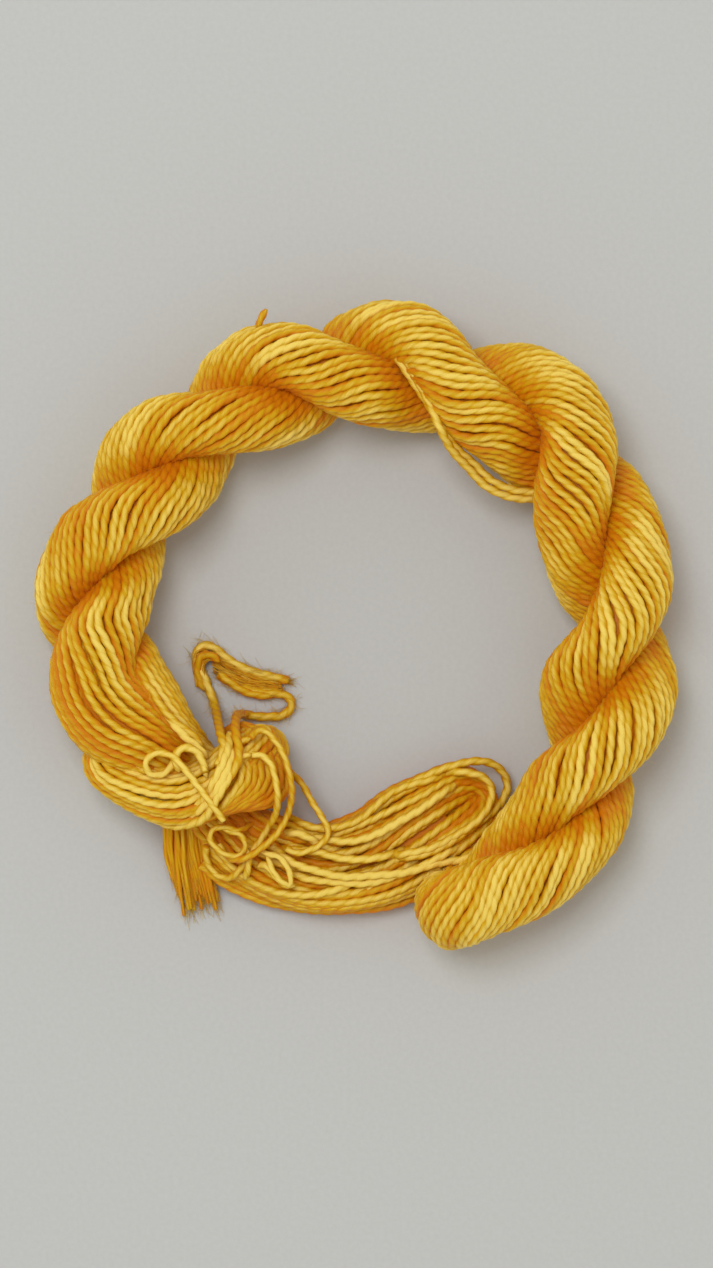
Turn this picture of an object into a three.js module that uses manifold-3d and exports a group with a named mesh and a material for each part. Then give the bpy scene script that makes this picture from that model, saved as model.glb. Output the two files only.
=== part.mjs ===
// A small hank of two-fold wool and silk yarn, twisted, folded on itself and laid down in a ring.
// Millimetres, +Z up, with the origin on the surface below the middle of the ring.
import * as THREE from "three";
import Module from "manifold-3d";
import { mergeVertices } from "three/addons/utils/BufferGeometryUtils.js";

// Yarn and its ties
const YARN_THICK = 1.4;
const TIE_SIDES = 8;
const TIE_STEP = 1.6;

// The two-ply rope that the hank makes when it is twisted and folded in half. A ply takes PLY_SHARE of
// the rope's half width as its own half depth, and is PLY_TAKE_UP times as long as the rope's middle.
const ROPE_HEIGHT = 9.2;
const PLY_SHARE = 0.55;
const PLY_SIDES = 16;
const PLY_STEP = 3.0;
const FOLD_ANGLE = -67;
const ROPE_END_ANGLE = 192;
const FOLD_STEPS = 7;
const FOLD_OVERLAP = 2;
const PLY_TAKE_UP = 1.25;

// Steps of the flattened tubes at the knot, and sides of the slack strand
const LOOP_STEPS = 26;
const COLLAR_STEPS = 20;
const KNOT_STEPS = 8;
const SLACK_SIDES = 6;

// Side lengths of the block that trims the underside flat
const TRIM_WIDTH = 130;
const TRIM_DEPTH = 20;

// Points of a solid that are nearer than MERGE_WITHIN are one point, and the joined hank loses the
// sliver faces of its seams, which moves no surface by more than SEAM_WITHIN
const MERGE_WITHIN = 1e-3;
const SEAM_WITHIN = 0.03;

// Quarter turns of the rope, anticlockwise from the fold: angle round the ring in degrees, distance of
// the rope's middle from the ring's middle, and half its width there. It is widest where the plies lie
// side by side (odd rows) and one ply wide where they lie on top of each other (even rows).
const QUARTER_TURNS = [
  { angle: -63.0, radius: 45.8, half: 6.3 },
  { angle: -44.0, radius: 44.2, half: 9.1 },
  { angle: -29.0, radius: 41.8, half: 6.5 },
  { angle: -14.0, radius: 40.3, half: 10.7 },
  { angle: 1.0, radius: 40.7, half: 6.4 },
  { angle: 18.5, radius: 40.5, half: 9.8 },
  { angle: 35.0, radius: 41.2, half: 7.4 },
  { angle: 50.0, radius: 42.6, half: 10.4 },
  { angle: 67.0, radius: 39.9, half: 6.6 },
  { angle: 82.0, radius: 41.1, half: 10.1 },
  { angle: 96.5, radius: 39.3, half: 6.7 },
  { angle: 110.5, radius: 39.7, half: 9.8 },
  { angle: 125.5, radius: 38.7, half: 6.0 },
  { angle: 140.5, radius: 39.1, half: 9.9 },
  { angle: 154.5, radius: 39.3, half: 6.7 },
  { angle: 171.0, radius: 40.8, half: 9.3 },
  { angle: 182.5, radius: 40.1, half: 7.1 },
  { angle: 198.0, radius: 38.3, half: 9.5 },
];

// Loose end loop: the upper ply goes through the other ply's loop and lies flat and untwisted
const LOOSE_LOOP = [
  { x: -41.4, y: -3.0, z: 12.6, wide: 6.2, high: 4.8 },
  { x: -41.0, y: -8.6, z: 12.2, wide: 7.0, high: 4.8 },
  { x: -37.2, y: -14.4, z: 11.8, wide: 7.0, high: 4.7 },
  { x: -31.2, y: -18.8, z: 10.4, wide: 5.4, high: 4.6 },
  { x: -25.4, y: -23.6, z: 7.0, wide: 4.4, high: 4.4 },
  { x: -21.0, y: -29.2, z: 4.6, wide: 4.8, high: 4.3 },
  { x: -15.4, y: -34.2, z: 4.0, wide: 5.8, high: 4.2 },
  { x: -6.5, y: -37.4, z: 3.7, wide: 6.8, high: 3.9 },
  { x: 2.5, y: -36.2, z: 3.5, wide: 7.8, high: 3.7 },
  { x: 10.5, y: -31.8, z: 3.4, wide: 8.4, high: 3.6 },
  { x: 17.5, y: -27.4, z: 3.4, wide: 7.4, high: 3.5 },
  { x: 21.8, y: -25.0, z: 3.3, wide: 5.2, high: 3.1 },
  { x: 23.6, y: -23.8, z: 3.2, wide: 2.4, high: 1.8 },
];

// Collar: the lower ply's end loop, which comes up at the outside, crosses and closes on the right
const COLLAR = [
  { x: -30.0, y: -15.0, z: 5.4, wide: 4.2, high: 4.2 },
  { x: -35.6, y: -18.2, z: 6.0, wide: 4.6, high: 4.6 },
  { x: -38.0, y: -22.0, z: 7.8, wide: 4.8, high: 4.6 },
  { x: -33.4, y: -25.8, z: 10.0, wide: 5.0, high: 4.6 },
  { x: -26.6, y: -26.6, z: 11.4, wide: 5.4, high: 4.6 },
  { x: -20.4, y: -24.8, z: 11.6, wide: 6.4, high: 4.8 },
  { x: -15.6, y: -21.6, z: 9.6, wide: 6.8, high: 5.0 },
  { x: -14.0, y: -19.4, z: 6.6, wide: 5.0, high: 4.2 },
];

// Inner ply's way down into the knot
const KNOT_ROOT = [
  { x: -34.4, y: -3.0, z: 7.6, wide: 4.6, high: 4.8 },
  { x: -32.0, y: -10.0, z: 8.6, wide: 4.9, high: 4.9 },
  { x: -28.8, y: -16.6, z: 8.6, wide: 4.6, high: 4.8 },
  { x: -24.6, y: -21.6, z: 7.4, wide: 4.2, high: 4.4 },
  { x: -19.4, y: -23.6, z: 6.2, wide: 3.8, high: 3.8 },
];

// Slack strand that bows off the rope's inner side, far above the knot
const SLACK_STRAND = [
  [5.6, 41.6, 13.0],
  [9.0, 38.6, 14.0],
  [12.4, 34.4, 12.4],
  [15.4, 29.4, 10.4],
  [18.6, 25.4, 9.4],
  [22.4, 22.8, 9.2],
  [27.0, 22.4, 9.2],
];

// Ties of the same yarn, knotted round the throat of the hank. Each is a list of [x, y, z] points from
// where it leaves the knot to its cut end, or to where it goes back in.
const TIES = {
  tie_tail_upper: [
    [-21.2, -21.3, 17.1],
    [-20.6, -19.8, 16.3],
    [-20.3, -18.4, 15.4],
    [-20.8, -16.7, 13.2],
    [-21.4, -14.6, 7.8],
    [-21.9, -12.9, 3.3],
    [-22.5, -10.9, 1.1],
    [-23.4, -8.6, 0.8],
    [-24.3, -6.5, 0.8],
    [-24.9, -4.8, 0.8],
    [-24.6, -3.3, 0.8],
    [-23.1, -2.8, 0.8],
    [-21.5, -3.7, 0.8],
    [-19.8, -5.1, 0.8],
    [-17.2, -6.5, 0.8],
    [-13.8, -7.5, 0.8],
    [-10.5, -8.3, 0.8],
  ],
  tie_tail_lower: [
    [-20.9, -24.9, 17.6],
    [-19.5, -23.0, 17.5],
    [-18.3, -21.0, 16.8],
    [-18.0, -19.0, 15.6],
    [-18.3, -17.3, 14.5],
    [-18.6, -15.7, 12.7],
    [-18.6, -14.1, 8.4],
    [-18.2, -13.5, 3.8],
    [-17.0, -13.6, 1.2],
    [-15.4, -13.9, 0.8],
    [-13.6, -13.9, 0.8],
    [-11.8, -13.8, 0.8],
    [-10.5, -13.0, 0.8],
    [-10.1, -11.7, 0.8],
    [-11.0, -10.6, 0.8],
    [-12.6, -10.3, 0.8],
    [-14.4, -10.2, 0.8],
    [-16.4, -9.8, 0.8],
    [-18.3, -9.2, 0.8],
    [-20.2, -8.3, 0.8],
    [-21.5, -7.3, 0.8],
  ],
  tie_loop_outer: [
    [-16.2, -17.0, 14.4],
    [-15.3, -16.0, 13.1],
    [-14.1, -15.9, 12.8],
    [-12.7, -17.2, 13.0],
    [-11.6, -18.8, 13.4],
    [-10.8, -20.6, 13.6],
    [-10.2, -22.9, 13.3],
    [-9.9, -25.2, 12.2],
    [-10.1, -27.2, 11.0],
    [-10.8, -29.4, 10.1],
    [-12.2, -31.8, 10.5],
    [-14.6, -34.0, 11.0],
    [-16.9, -35.5, 11.3],
    [-18.8, -35.9, 10.0],
    [-20.3, -35.0, 8.6],
    [-21.2, -33.4, 8.7],
  ],
  tie_loop_inner: [
    [-16.0, -19.5, 15.3],
    [-14.4, -19.7, 15.2],
    [-13.1, -21.0, 15.2],
    [-12.5, -22.9, 14.9],
    [-12.1, -25.2, 14.9],
    [-12.1, -27.3, 13.7],
    [-12.6, -29.2, 11.6],
    [-13.6, -30.9, 9.6],
    [-14.6, -32.6, 9.1],
    [-16.0, -34.5, 9.1],
    [-17.2, -36.5, 8.5],
    [-18.3, -37.9, 7.8],
    [-19.7, -38.9, 6.2],
    [-21.5, -38.5, 5.2],
    [-22.8, -37.0, 5.6],
    [-23.3, -35.3, 6.8],
    [-23.2, -33.9, 8.0],
  ],
  tie_bight: [
    [-21.2, -16.2, 4.6],
    [-19.6, -16.9, 4.4],
    [-17.9, -17.7, 4.3],
    [-16.2, -18.5, 4.2],
    [-14.4, -19.6, 4.2],
    [-12.4, -21.0, 4.2],
    [-10.1, -22.6, 4.9],
    [-8.4, -24.3, 6.2],
    [-6.8, -27.1, 6.9],
    [-5.2, -29.6, 7.2],
    [-4.3, -31.7, 7.5],
    [-5.3, -33.4, 8.3],
    [-7.3, -34.5, 8.8],
    [-9.3, -34.9, 9.0],
    [-10.8, -34.2, 9.0],
  ],
  tie_end: [
    [-23.1, -22.2, 17.1],
    [-23.5, -20.4, 15.9],
    [-24.4, -18.9, 14.6],
    [-25.8, -18.3, 14.3],
    [-27.1, -18.8, 14.9],
    [-27.8, -20.1, 15.1],
    [-28.6, -21.6, 15.2],
    [-30.0, -22.6, 15.2],
    [-31.6, -22.4, 15.5],
    [-32.3, -21.0, 16.1],
    [-31.3, -19.5, 16.3],
    [-29.4, -19.3, 16.5],
    [-27.9, -19.9, 17.1],
    [-26.4, -21.5, 17.4],
    [-24.5, -23.9, 17.6],
    [-22.6, -26.4, 17.8],
    [-20.3, -29.6, 16.6],
  ],
};

// Tuft of cut ends below the collar: where each lock starts, turns and ends, and how high it lies
const LOCK_THICK = 1.3;
const LOCK_SIDES = 4;
const LOCK_STEPS = 5;
const TUFT_ROOT = { x: -27.2, y: -32.2, z: 2.8, wide: 2.1, deep: 1.3, high: 2.0 };
const LOCKS = [
  { root: -28.8, bend: -28.4, tip: -27.4, end: -42.9, z: 0.8 },
  { root: -27.6, bend: -26.7, tip: -25.6, end: -43.4, z: 0.8 },
  { root: -26.6, bend: -24.9, tip: -23.6, end: -42.3, z: 0.8 },
  { root: -25.9, bend: -23.2, tip: -21.6, end: -43.0, z: 0.8 },
  { root: -28.4, bend: -27.6, tip: -26.6, end: -42.0, z: 2.35 },
  { root: -27.2, bend: -25.8, tip: -24.9, end: -40.6, z: 2.35 },
  { root: -26.2, bend: -24.0, tip: -22.6, end: -42.4, z: 2.35 },
];

// Spline through one named column of a table, read at any place along its other column
function column(rows, place, name) {
  const line = rows.map((row) => new THREE.Vector2(row[place], row[name]));
  return (at) => {
    let i = 1;
    while (i < line.length - 1 && line[i].x < at) i += 1;
    const [a, b] = [line[i - 1], line[i]];
    const before = line[Math.max(i - 2, 0)];
    const after = line[Math.min(i + 1, line.length - 1)];
    const t = (at - a.x) / (b.x - a.x);
    const slopeA = ((b.y - before.y) / (b.x - before.x)) * (b.x - a.x);
    const slopeB = ((after.y - a.y) / (after.x - a.x)) * (b.x - a.x);
    const [t2, t3] = [t * t, t * t * t];
    return (2 * t3 - 3 * t2 + 1) * a.y + (t3 - 2 * t2 + t) * slopeA
      + (3 * t2 - 2 * t3) * b.y + (t3 - t2) * slopeB;
  };
}

const turns = QUARTER_TURNS.map((row, quarter) => ({ ...row, quarter }));
const ropeRadius = column(turns, "angle", "radius");
const ropeQuarter = column(turns, "angle", "quarter");
const pairHalf = column(turns.filter((row) => row.quarter % 2 === 1), "angle", "half");
const plyHalf = column(turns.filter((row) => row.quarter % 2 === 0), "angle", "half");
const up = new THREE.Vector3(0, 0, 1);

// Middle of the rope at an angle round the ring
function ropePoint(angle) {
  const turn = THREE.MathUtils.degToRad(angle);
  const radius = ropeRadius(angle);
  return new THREE.Vector3(radius * Math.cos(turn), radius * Math.sin(turn), ROPE_HEIGHT);
}

// Where a ply lies at an angle: its middle, the way out of the rope (out), the way across (side), the
// rope's direction (along) and the ply's two half sizes. The plies turn right-handed about each other.
function plyFrame(angle, side) {
  const along = ropePoint(angle + 0.5).sub(ropePoint(angle - 0.5)).normalize();
  const outward = new THREE.Vector3().crossVectors(along, up);
  const phase = (Math.PI / 2) * (1 - ropeQuarter(angle));
  const out = outward.clone().multiplyScalar(Math.cos(phase)).addScaledVector(up, Math.sin(phase));
  const across = outward.clone().multiplyScalar(-Math.sin(phase)).addScaledVector(up, Math.cos(phase));
  out.multiplyScalar(side);
  across.multiplyScalar(side);
  const deep = PLY_SHARE * pairHalf(angle);
  const offset = pairHalf(angle) - deep;
  const middle = ropePoint(angle).addScaledVector(out, offset);
  return { middle, out, across, along, deep, wide: plyHalf(angle), offset };
}

// Oval ring of points about a frame
function ovalRing({ middle, out, across, deep, wide }, sides) {
  return Array.from({ length: sides }, (_, k) => {
    const turn = (2 * Math.PI * k) / sides;
    return middle.clone().addScaledVector(out, deep * Math.cos(turn))
      .addScaledVector(across, wide * Math.sin(turn));
  });
}

// Closed mesh through rings of points, with a fan over each end
function loft(rings) {
  const sides = rings[0].length;
  const points = rings.flat();
  const faces = [];
  for (let r = 0; r + 1 < rings.length; r += 1) {
    for (let k = 0; k < sides; k += 1) {
      const [a, b] = [r * sides + k, r * sides + ((k + 1) % sides)];
      const rising = points[a].distanceTo(points[b + sides]) < points[b].distanceTo(points[a + sides]);
      const [first, second] = rising ? [[a, b, b + sides], [a, b + sides, a + sides]]
        : [[a, b, a + sides], [b, b + sides, a + sides]];
      faces.push(...first, ...second);
    }
  }
  const ends = [rings[0], rings.at(-1)];
  ends.forEach((ring, end) => {
    const hub = points.length;
    const first = end * (rings.length - 1) * sides;
    points.push(ring.reduce((sum, p) => sum.add(p), new THREE.Vector3()).divideScalar(sides));
    for (let k = 0; k < sides; k += 1) {
      const [a, b] = [first + k, first + ((k + 1) % sides)];
      faces.push(...(end ? [hub, a, b] : [hub, b, a]));
    }
  });
  const geometry = new THREE.BufferGeometry().setFromPoints(points);
  geometry.setIndex(faces);
  return signedVolume(geometry) < 0 ? flipped(geometry) : geometry;
}

// Volume inside a mesh, less than nothing where its faces point inwards
function signedVolume(geometry) {
  const place = geometry.getAttribute("position");
  const corner = [new THREE.Vector3(), new THREE.Vector3(), new THREE.Vector3()];
  let volume = 0;
  for (let i = 0; i < geometry.index.count; i += 3) {
    corner.forEach((p, k) => p.fromBufferAttribute(place, geometry.index.getX(i + k)));
    volume += corner[0].dot(corner[1].cross(corner[2])) / 6;
  }
  return volume;
}

function flipped(geometry) {
  const index = Array.from(geometry.index.array);
  for (let i = 0; i < index.length; i += 3) [index[i], index[i + 1]] = [index[i + 1], index[i]];
  geometry.setIndex(index);
  return geometry;
}

// One ply from the knot to the fold; the upper ply also carries the round of the fold
function plyBody(side) {
  const span = ropeRadius(ROPE_END_ANGLE) * THREE.MathUtils.degToRad(ROPE_END_ANGLE - FOLD_ANGLE);
  const steps = Math.round((span * PLY_TAKE_UP) / PLY_STEP);
  const rings = [];
  for (let i = 0; i <= steps; i += 1) {
    const angle = THREE.MathUtils.lerp(ROPE_END_ANGLE, FOLD_ANGLE, i / steps);
    rings.push(ovalRing(plyFrame(angle, side), PLY_SIDES));
  }
  return loft(side > 0 ? rings.concat(foldRings()) : rings);
}

// Half turn that joins the two plies at the fold, and runs a little way into the lower ply
function foldRings() {
  const last = plyFrame(FOLD_ANGLE, 1);
  const hub = ropePoint(FOLD_ANGLE);
  const rings = [];
  for (let i = 1; i <= FOLD_STEPS; i += 1) {
    const turn = (Math.PI * i) / FOLD_STEPS;
    const out = last.out.clone().multiplyScalar(Math.cos(turn)).addScaledVector(last.along, -Math.sin(turn));
    const middle = hub.clone().addScaledVector(out, last.offset);
    rings.push(ovalRing({ ...last, middle, out }, PLY_SIDES));
  }
  const lower = plyFrame(FOLD_ANGLE + FOLD_OVERLAP, -1);
  rings.push(ovalRing({ ...lower, across: lower.across.negate() }, PLY_SIDES));
  return rings;
}

// Flattened tube through the rows of a table, its wide way level
function flatTube(rows, steps) {
  const line = new THREE.CatmullRomCurve3(rows.map((row) => new THREE.Vector3(row.x, row.y, row.z)));
  const numbered = rows.map((row, place) => ({ ...row, place }));
  const wide = column(numbered, "place", "wide");
  const high = column(numbered, "place", "high");
  const rings = [];
  for (let i = 0; i <= steps; i += 1) {
    const t = i / steps;
    const along = line.getTangent(t);
    const across = new THREE.Vector3().crossVectors(up, along).normalize();
    const out = new THREE.Vector3().crossVectors(along, across);
    const place = t * (rows.length - 1);
    const size = { deep: high(place), wide: wide(place) };
    rings.push(ovalRing({ middle: line.getPoint(t), out, across, ...size }, PLY_SIDES));
  }
  return loft(rings);
}

// Round yarn along hand-set points
function yarnTube(points, thick, sides, steps = 0) {
  const line = new THREE.CatmullRomCurve3(points.map((p) => new THREE.Vector3(...p)));
  const section = new THREE.Shape(Array.from({ length: sides }, (_, k) => {
    const turn = (2 * Math.PI * k) / sides;
    return new THREE.Vector2((thick / 2) * Math.cos(turn), (thick / 2) * Math.sin(turn));
  }));
  const count = steps || Math.max(6, Math.round(line.getLength() / TIE_STEP));
  return new THREE.ExtrudeGeometry(section, { steps: count, extrudePath: line, bevelEnabled: false });
}

const wasm = await Module();
wasm.setup();

// Solid of a closed mesh, for joining and cutting
function solid(geometry) {
  const bare = geometry.clone();
  bare.deleteAttribute("normal");
  bare.deleteAttribute("uv");
  const merged = mergeVertices(bare, MERGE_WITHIN);
  return new wasm.Manifold(new wasm.Mesh({
    numProp: 3,
    vertProperties: Float32Array.from(merged.getAttribute("position").array),
    triVerts: Uint32Array.from(merged.index.array),
  }));
}

// Mesh geometry of a solid
function surface(body) {
  const mesh = body.getMesh();
  const geometry = new THREE.BufferGeometry();
  geometry.setAttribute("position", new THREE.Float32BufferAttribute(mesh.vertProperties, 3));
  geometry.setIndex(Array.from(mesh.triVerts));
  geometry.computeVertexNormals();
  return geometry;
}

// Outer shell of a solid, with any hollow that is sealed inside it filled
function filled(body) {
  return body.decompose().reduce((most, shell) => (shell.volume() > most.volume() ? shell : most));
}

// The whole hank as one body, flat where it rests
function hankBody() {
  const pieces = [plyBody(1), plyBody(-1), flatTube(LOOSE_LOOP, LOOP_STEPS), flatTube(COLLAR, COLLAR_STEPS),
    flatTube(KNOT_ROOT, KNOT_STEPS), yarnTube(SLACK_STRAND, 2 * YARN_THICK, SLACK_SIDES)];
  const joined = pieces.map(solid).reduce((whole, piece) => whole.add(piece));
  const ground = new THREE.BoxGeometry(TRIM_WIDTH, TRIM_WIDTH, TRIM_DEPTH).translate(0, 0, -TRIM_DEPTH / 2);
  return surface(filled(solid(surface(joined.subtract(solid(ground)).simplify(SEAM_WITHIN)))));
}

// Locks of the tuft, fused at their roots
function tuftBody() {
  const { x, y, z, wide, deep, high } = TUFT_ROOT;
  const root = new THREE.SphereGeometry(1, 12, 8).scale(wide, deep, high).translate(x, y, z);
  const locks = LOCKS.map((lock) => yarnTube([
    [lock.root, y, z],
    [(lock.root + lock.bend) / 2, y - 2.4, Math.max(lock.z, z - 0.8)],
    [lock.bend, y - 5.4, lock.z],
    [lock.tip, lock.end, lock.z],
  ], LOCK_THICK, LOCK_SIDES, LOCK_STEPS));
  const joined = [root, ...locks].map(solid).reduce((whole, lock) => whole.add(lock));
  return surface(filled(solid(surface(joined.simplify(SEAM_WITHIN)))));
}

const gold = new THREE.MeshStandardMaterial({ color: 0xe0a92e, roughness: 0.75, metalness: 0 });
const deepGold = new THREE.MeshStandardMaterial({ color: 0xd39a1c, roughness: 0.8, metalness: 0 });

function piece(name, geometry, material) {
  const mesh = new THREE.Mesh(geometry, material);
  mesh.name = name;
  return mesh;
}

const yarnHank = new THREE.Group();
yarnHank.add(piece("hank", hankBody(), gold), piece("tuft", tuftBody(), deepGold));
for (const [name, points] of Object.entries(TIES)) {
  yarnHank.add(piece(name, yarnTube(points, YARN_THICK, TIE_SIDES), gold));
}

export default yarnHank;
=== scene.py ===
"""A twisted hank of two-fold wool and silk yarn, strand by strand, laid in a ring on a pale floor."""

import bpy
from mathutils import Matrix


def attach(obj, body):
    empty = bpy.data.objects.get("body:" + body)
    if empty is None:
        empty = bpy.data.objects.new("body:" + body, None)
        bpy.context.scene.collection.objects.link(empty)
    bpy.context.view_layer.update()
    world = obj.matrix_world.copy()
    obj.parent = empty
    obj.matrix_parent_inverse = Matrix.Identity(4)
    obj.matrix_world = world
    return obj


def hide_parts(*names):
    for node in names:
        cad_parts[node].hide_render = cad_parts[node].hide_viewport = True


bl_info = {
    "name": "Yarn Hank",
    "version": (1, 0, 0),
    "blender": (4, 5, 0),
    "location": "View3D > Sidebar > Yarn Hank",
    "description": "Winds a twisted hank of two-fold yarn, strand by strand, with its loops and ties",
    "category": "Add Mesh",
}

import bpy
import numpy as np
from bpy.props import FloatProperty, FloatVectorProperty, IntProperty, PointerProperty
from bpy.types import Operator, Panel, PropertyGroup
from mathutils import Vector

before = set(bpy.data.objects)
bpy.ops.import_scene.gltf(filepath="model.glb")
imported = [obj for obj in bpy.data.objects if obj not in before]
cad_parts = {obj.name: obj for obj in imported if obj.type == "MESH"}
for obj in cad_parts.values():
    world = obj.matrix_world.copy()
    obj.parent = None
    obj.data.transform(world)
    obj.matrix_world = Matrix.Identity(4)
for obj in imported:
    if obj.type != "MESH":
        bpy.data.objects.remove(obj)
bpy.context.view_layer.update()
BODY = "root"
SEED = 5371
TURN = 2 * np.pi
UP = np.array([0.0, 0.0, 1.0])

# The rope: quarter turns anticlockwise from the fold, as (angle in degrees, distance of the rope's middle
# from the ring's middle, half width). Even rows are one ply wide, odd rows two plies side by side.
QUARTER_TURNS = (
    (-63.0, 0.0458, 0.0063),
    (-44.0, 0.0442, 0.0091),
    (-29.0, 0.0418, 0.0065),
    (-14.0, 0.0403, 0.0107),
    (1.0, 0.0407, 0.0064),
    (18.5, 0.0405, 0.0098),
    (35.0, 0.0412, 0.0074),
    (50.0, 0.0426, 0.0104),
    (67.0, 0.0399, 0.0066),
    (82.0, 0.0411, 0.0101),
    (96.5, 0.0393, 0.0067),
    (110.5, 0.0397, 0.0098),
    (125.5, 0.0387, 0.0060),
    (140.5, 0.0391, 0.0099),
    (154.5, 0.0393, 0.0067),
    (171.0, 0.0408, 0.0093),
    (182.5, 0.0401, 0.0071),
    (198.0, 0.0383, 0.0095),
)
ROPE_HEIGHT = 0.0092
PLY_SHARE = 0.55
FOLD_ANGLE = -67.0
UPPER_PLY_END = 181.0
LOWER_PLY_END = 188.0
ANGLE_STEP = 0.5

# Flattened bundles at the knot, as (x, y, z, half width, half height)
LOOSE_LOOP = (
    (-0.0414, -0.0030, 0.0126, 0.0062, 0.0048),
    (-0.0410, -0.0086, 0.0122, 0.0070, 0.0048),
    (-0.0372, -0.0144, 0.0118, 0.0070, 0.0047),
    (-0.0312, -0.0188, 0.0104, 0.0054, 0.0046),
    (-0.0254, -0.0236, 0.0070, 0.0044, 0.0044),
    (-0.0210, -0.0292, 0.0046, 0.0048, 0.0043),
    (-0.0154, -0.0345, 0.0040, 0.0061, 0.0042),
    (-0.0065, -0.0378, 0.0037, 0.0072, 0.0039),
    (0.0025, -0.0364, 0.0035, 0.0080, 0.0037),
    (0.0105, -0.0318, 0.0034, 0.0084, 0.0036),
    (0.0175, -0.0274, 0.0034, 0.0074, 0.0035),
    (0.0218, -0.0250, 0.0033, 0.0052, 0.0031),
    (0.0236, -0.0238, 0.0032, 0.0024, 0.0018),
)
COLLAR = (
    (-0.0300, -0.0150, 0.0054, 0.0042, 0.0042),
    (-0.0352, -0.0172, 0.0060, 0.0046, 0.0046),
    (-0.0378, -0.0208, 0.0078, 0.0047, 0.0046),
    (-0.0336, -0.0242, 0.0100, 0.0047, 0.0046),
    (-0.0272, -0.0260, 0.0114, 0.0051, 0.0046),
    (-0.0214, -0.0240, 0.0116, 0.0047, 0.0046),
    (-0.0168, -0.0208, 0.0096, 0.0050, 0.0046),
    (-0.0146, -0.0190, 0.0066, 0.0044, 0.0042),
    (-0.0148, -0.0184, 0.0044, 0.0034, 0.0030),
)
KNOT_ROOT = (
    (-0.0344, -0.0030, 0.0076, 0.0046, 0.0048),
    (-0.0320, -0.0100, 0.0086, 0.0049, 0.0049),
    (-0.0288, -0.0166, 0.0086, 0.0046, 0.0048),
    (-0.0246, -0.0216, 0.0074, 0.0042, 0.0044),
    (-0.0194, -0.0236, 0.0062, 0.0038, 0.0038),
)
SLACK_STRAND = (
    (0.0062, 0.0428, 0.0126), (0.0073, 0.0409, 0.0143), (0.0096, 0.0371, 0.0142),
    (0.0110, 0.0347, 0.0147), (0.0129, 0.0309, 0.0156), (0.0150, 0.0276, 0.0134),
    (0.0177, 0.0250, 0.0114), (0.0205, 0.0223, 0.0102), (0.0243, 0.0207, 0.0092),
    (0.0282, 0.0204, 0.0086),
)

# Where the deepest painted shade goes: between the two plies above the knot, and below the fan where the
# loose loop comes out
THROAT = (
    (-0.0343, -0.0050, 0.0000), (-0.0330, -0.0111, 0.0000), (-0.0294, -0.0160, 0.0000),
    (-0.0266, -0.0184, 0.0000),
)
CAVE = (
    (-0.0222, -0.0304, 0.0000), (-0.0190, -0.0298, 0.0000), (-0.0150, -0.0290, 0.0000),
    (-0.0112, -0.0282, 0.0000),
)

# Where the collar's strands fan out over the throat: outermost and innermost arc, and its lower edge
FAN_OUTER = (
    (-0.0202, -0.0282, 0.0132), (-0.0177, -0.0279, 0.0130), (-0.0150, -0.0275, 0.0122),
    (-0.0122, -0.0266, 0.0108), (-0.0108, -0.0249, 0.0100), (-0.0106, -0.0227, 0.0096),
    (-0.0115, -0.0203, 0.0094), (-0.0133, -0.0175, 0.0088), (-0.0157, -0.0157, 0.0080),
    (-0.0183, -0.0152, 0.0070), (-0.0205, -0.0163, 0.0060),
)
FAN_INNER = (
    (-0.0213, -0.0282, 0.0146), (-0.0206, -0.0272, 0.0154), (-0.0199, -0.0258, 0.0158),
    (-0.0188, -0.0238, 0.0156), (-0.0182, -0.0218, 0.0148), (-0.0187, -0.0200, 0.0136),
    (-0.0194, -0.0184, 0.0120), (-0.0202, -0.0172, 0.0100),
)
NECK_LOW = (
    (-0.0340, -0.0276, 0.0092), (-0.0308, -0.0297, 0.0110), (-0.0282, -0.0306, 0.0120),
    (-0.0262, -0.0305, 0.0130), (-0.0239, -0.0295, 0.0150), (-0.0220, -0.0275, 0.0168),
    (-0.0206, -0.0252, 0.0179), (-0.0194, -0.0227, 0.0176), (-0.0187, -0.0206, 0.0160),
    (-0.0188, -0.0187, 0.0130),
)

# Lowest strands of the loose end loop, outermost and innermost
LOOP_LOW = (
    (-0.0245, -0.0372, 0.0040), (-0.0212, -0.0398, 0.0032), (-0.0170, -0.0416, 0.0026),
    (-0.0120, -0.0432, 0.0022), (-0.0060, -0.0443, 0.0018), (0.0000, -0.0438, 0.0016),
    (0.0050, -0.0420, 0.0016), (0.0096, -0.0396, 0.0018),
)
LOOP_LOW_INNER = (
    (-0.0222, -0.0344, 0.0052), (-0.0188, -0.0368, 0.0050), (-0.0150, -0.0388, 0.0044),
    (-0.0110, -0.0404, 0.0040), (-0.0060, -0.0414, 0.0038), (0.0000, -0.0410, 0.0036),
    (0.0050, -0.0394, 0.0034), (0.0090, -0.0374, 0.0032),
)

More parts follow.
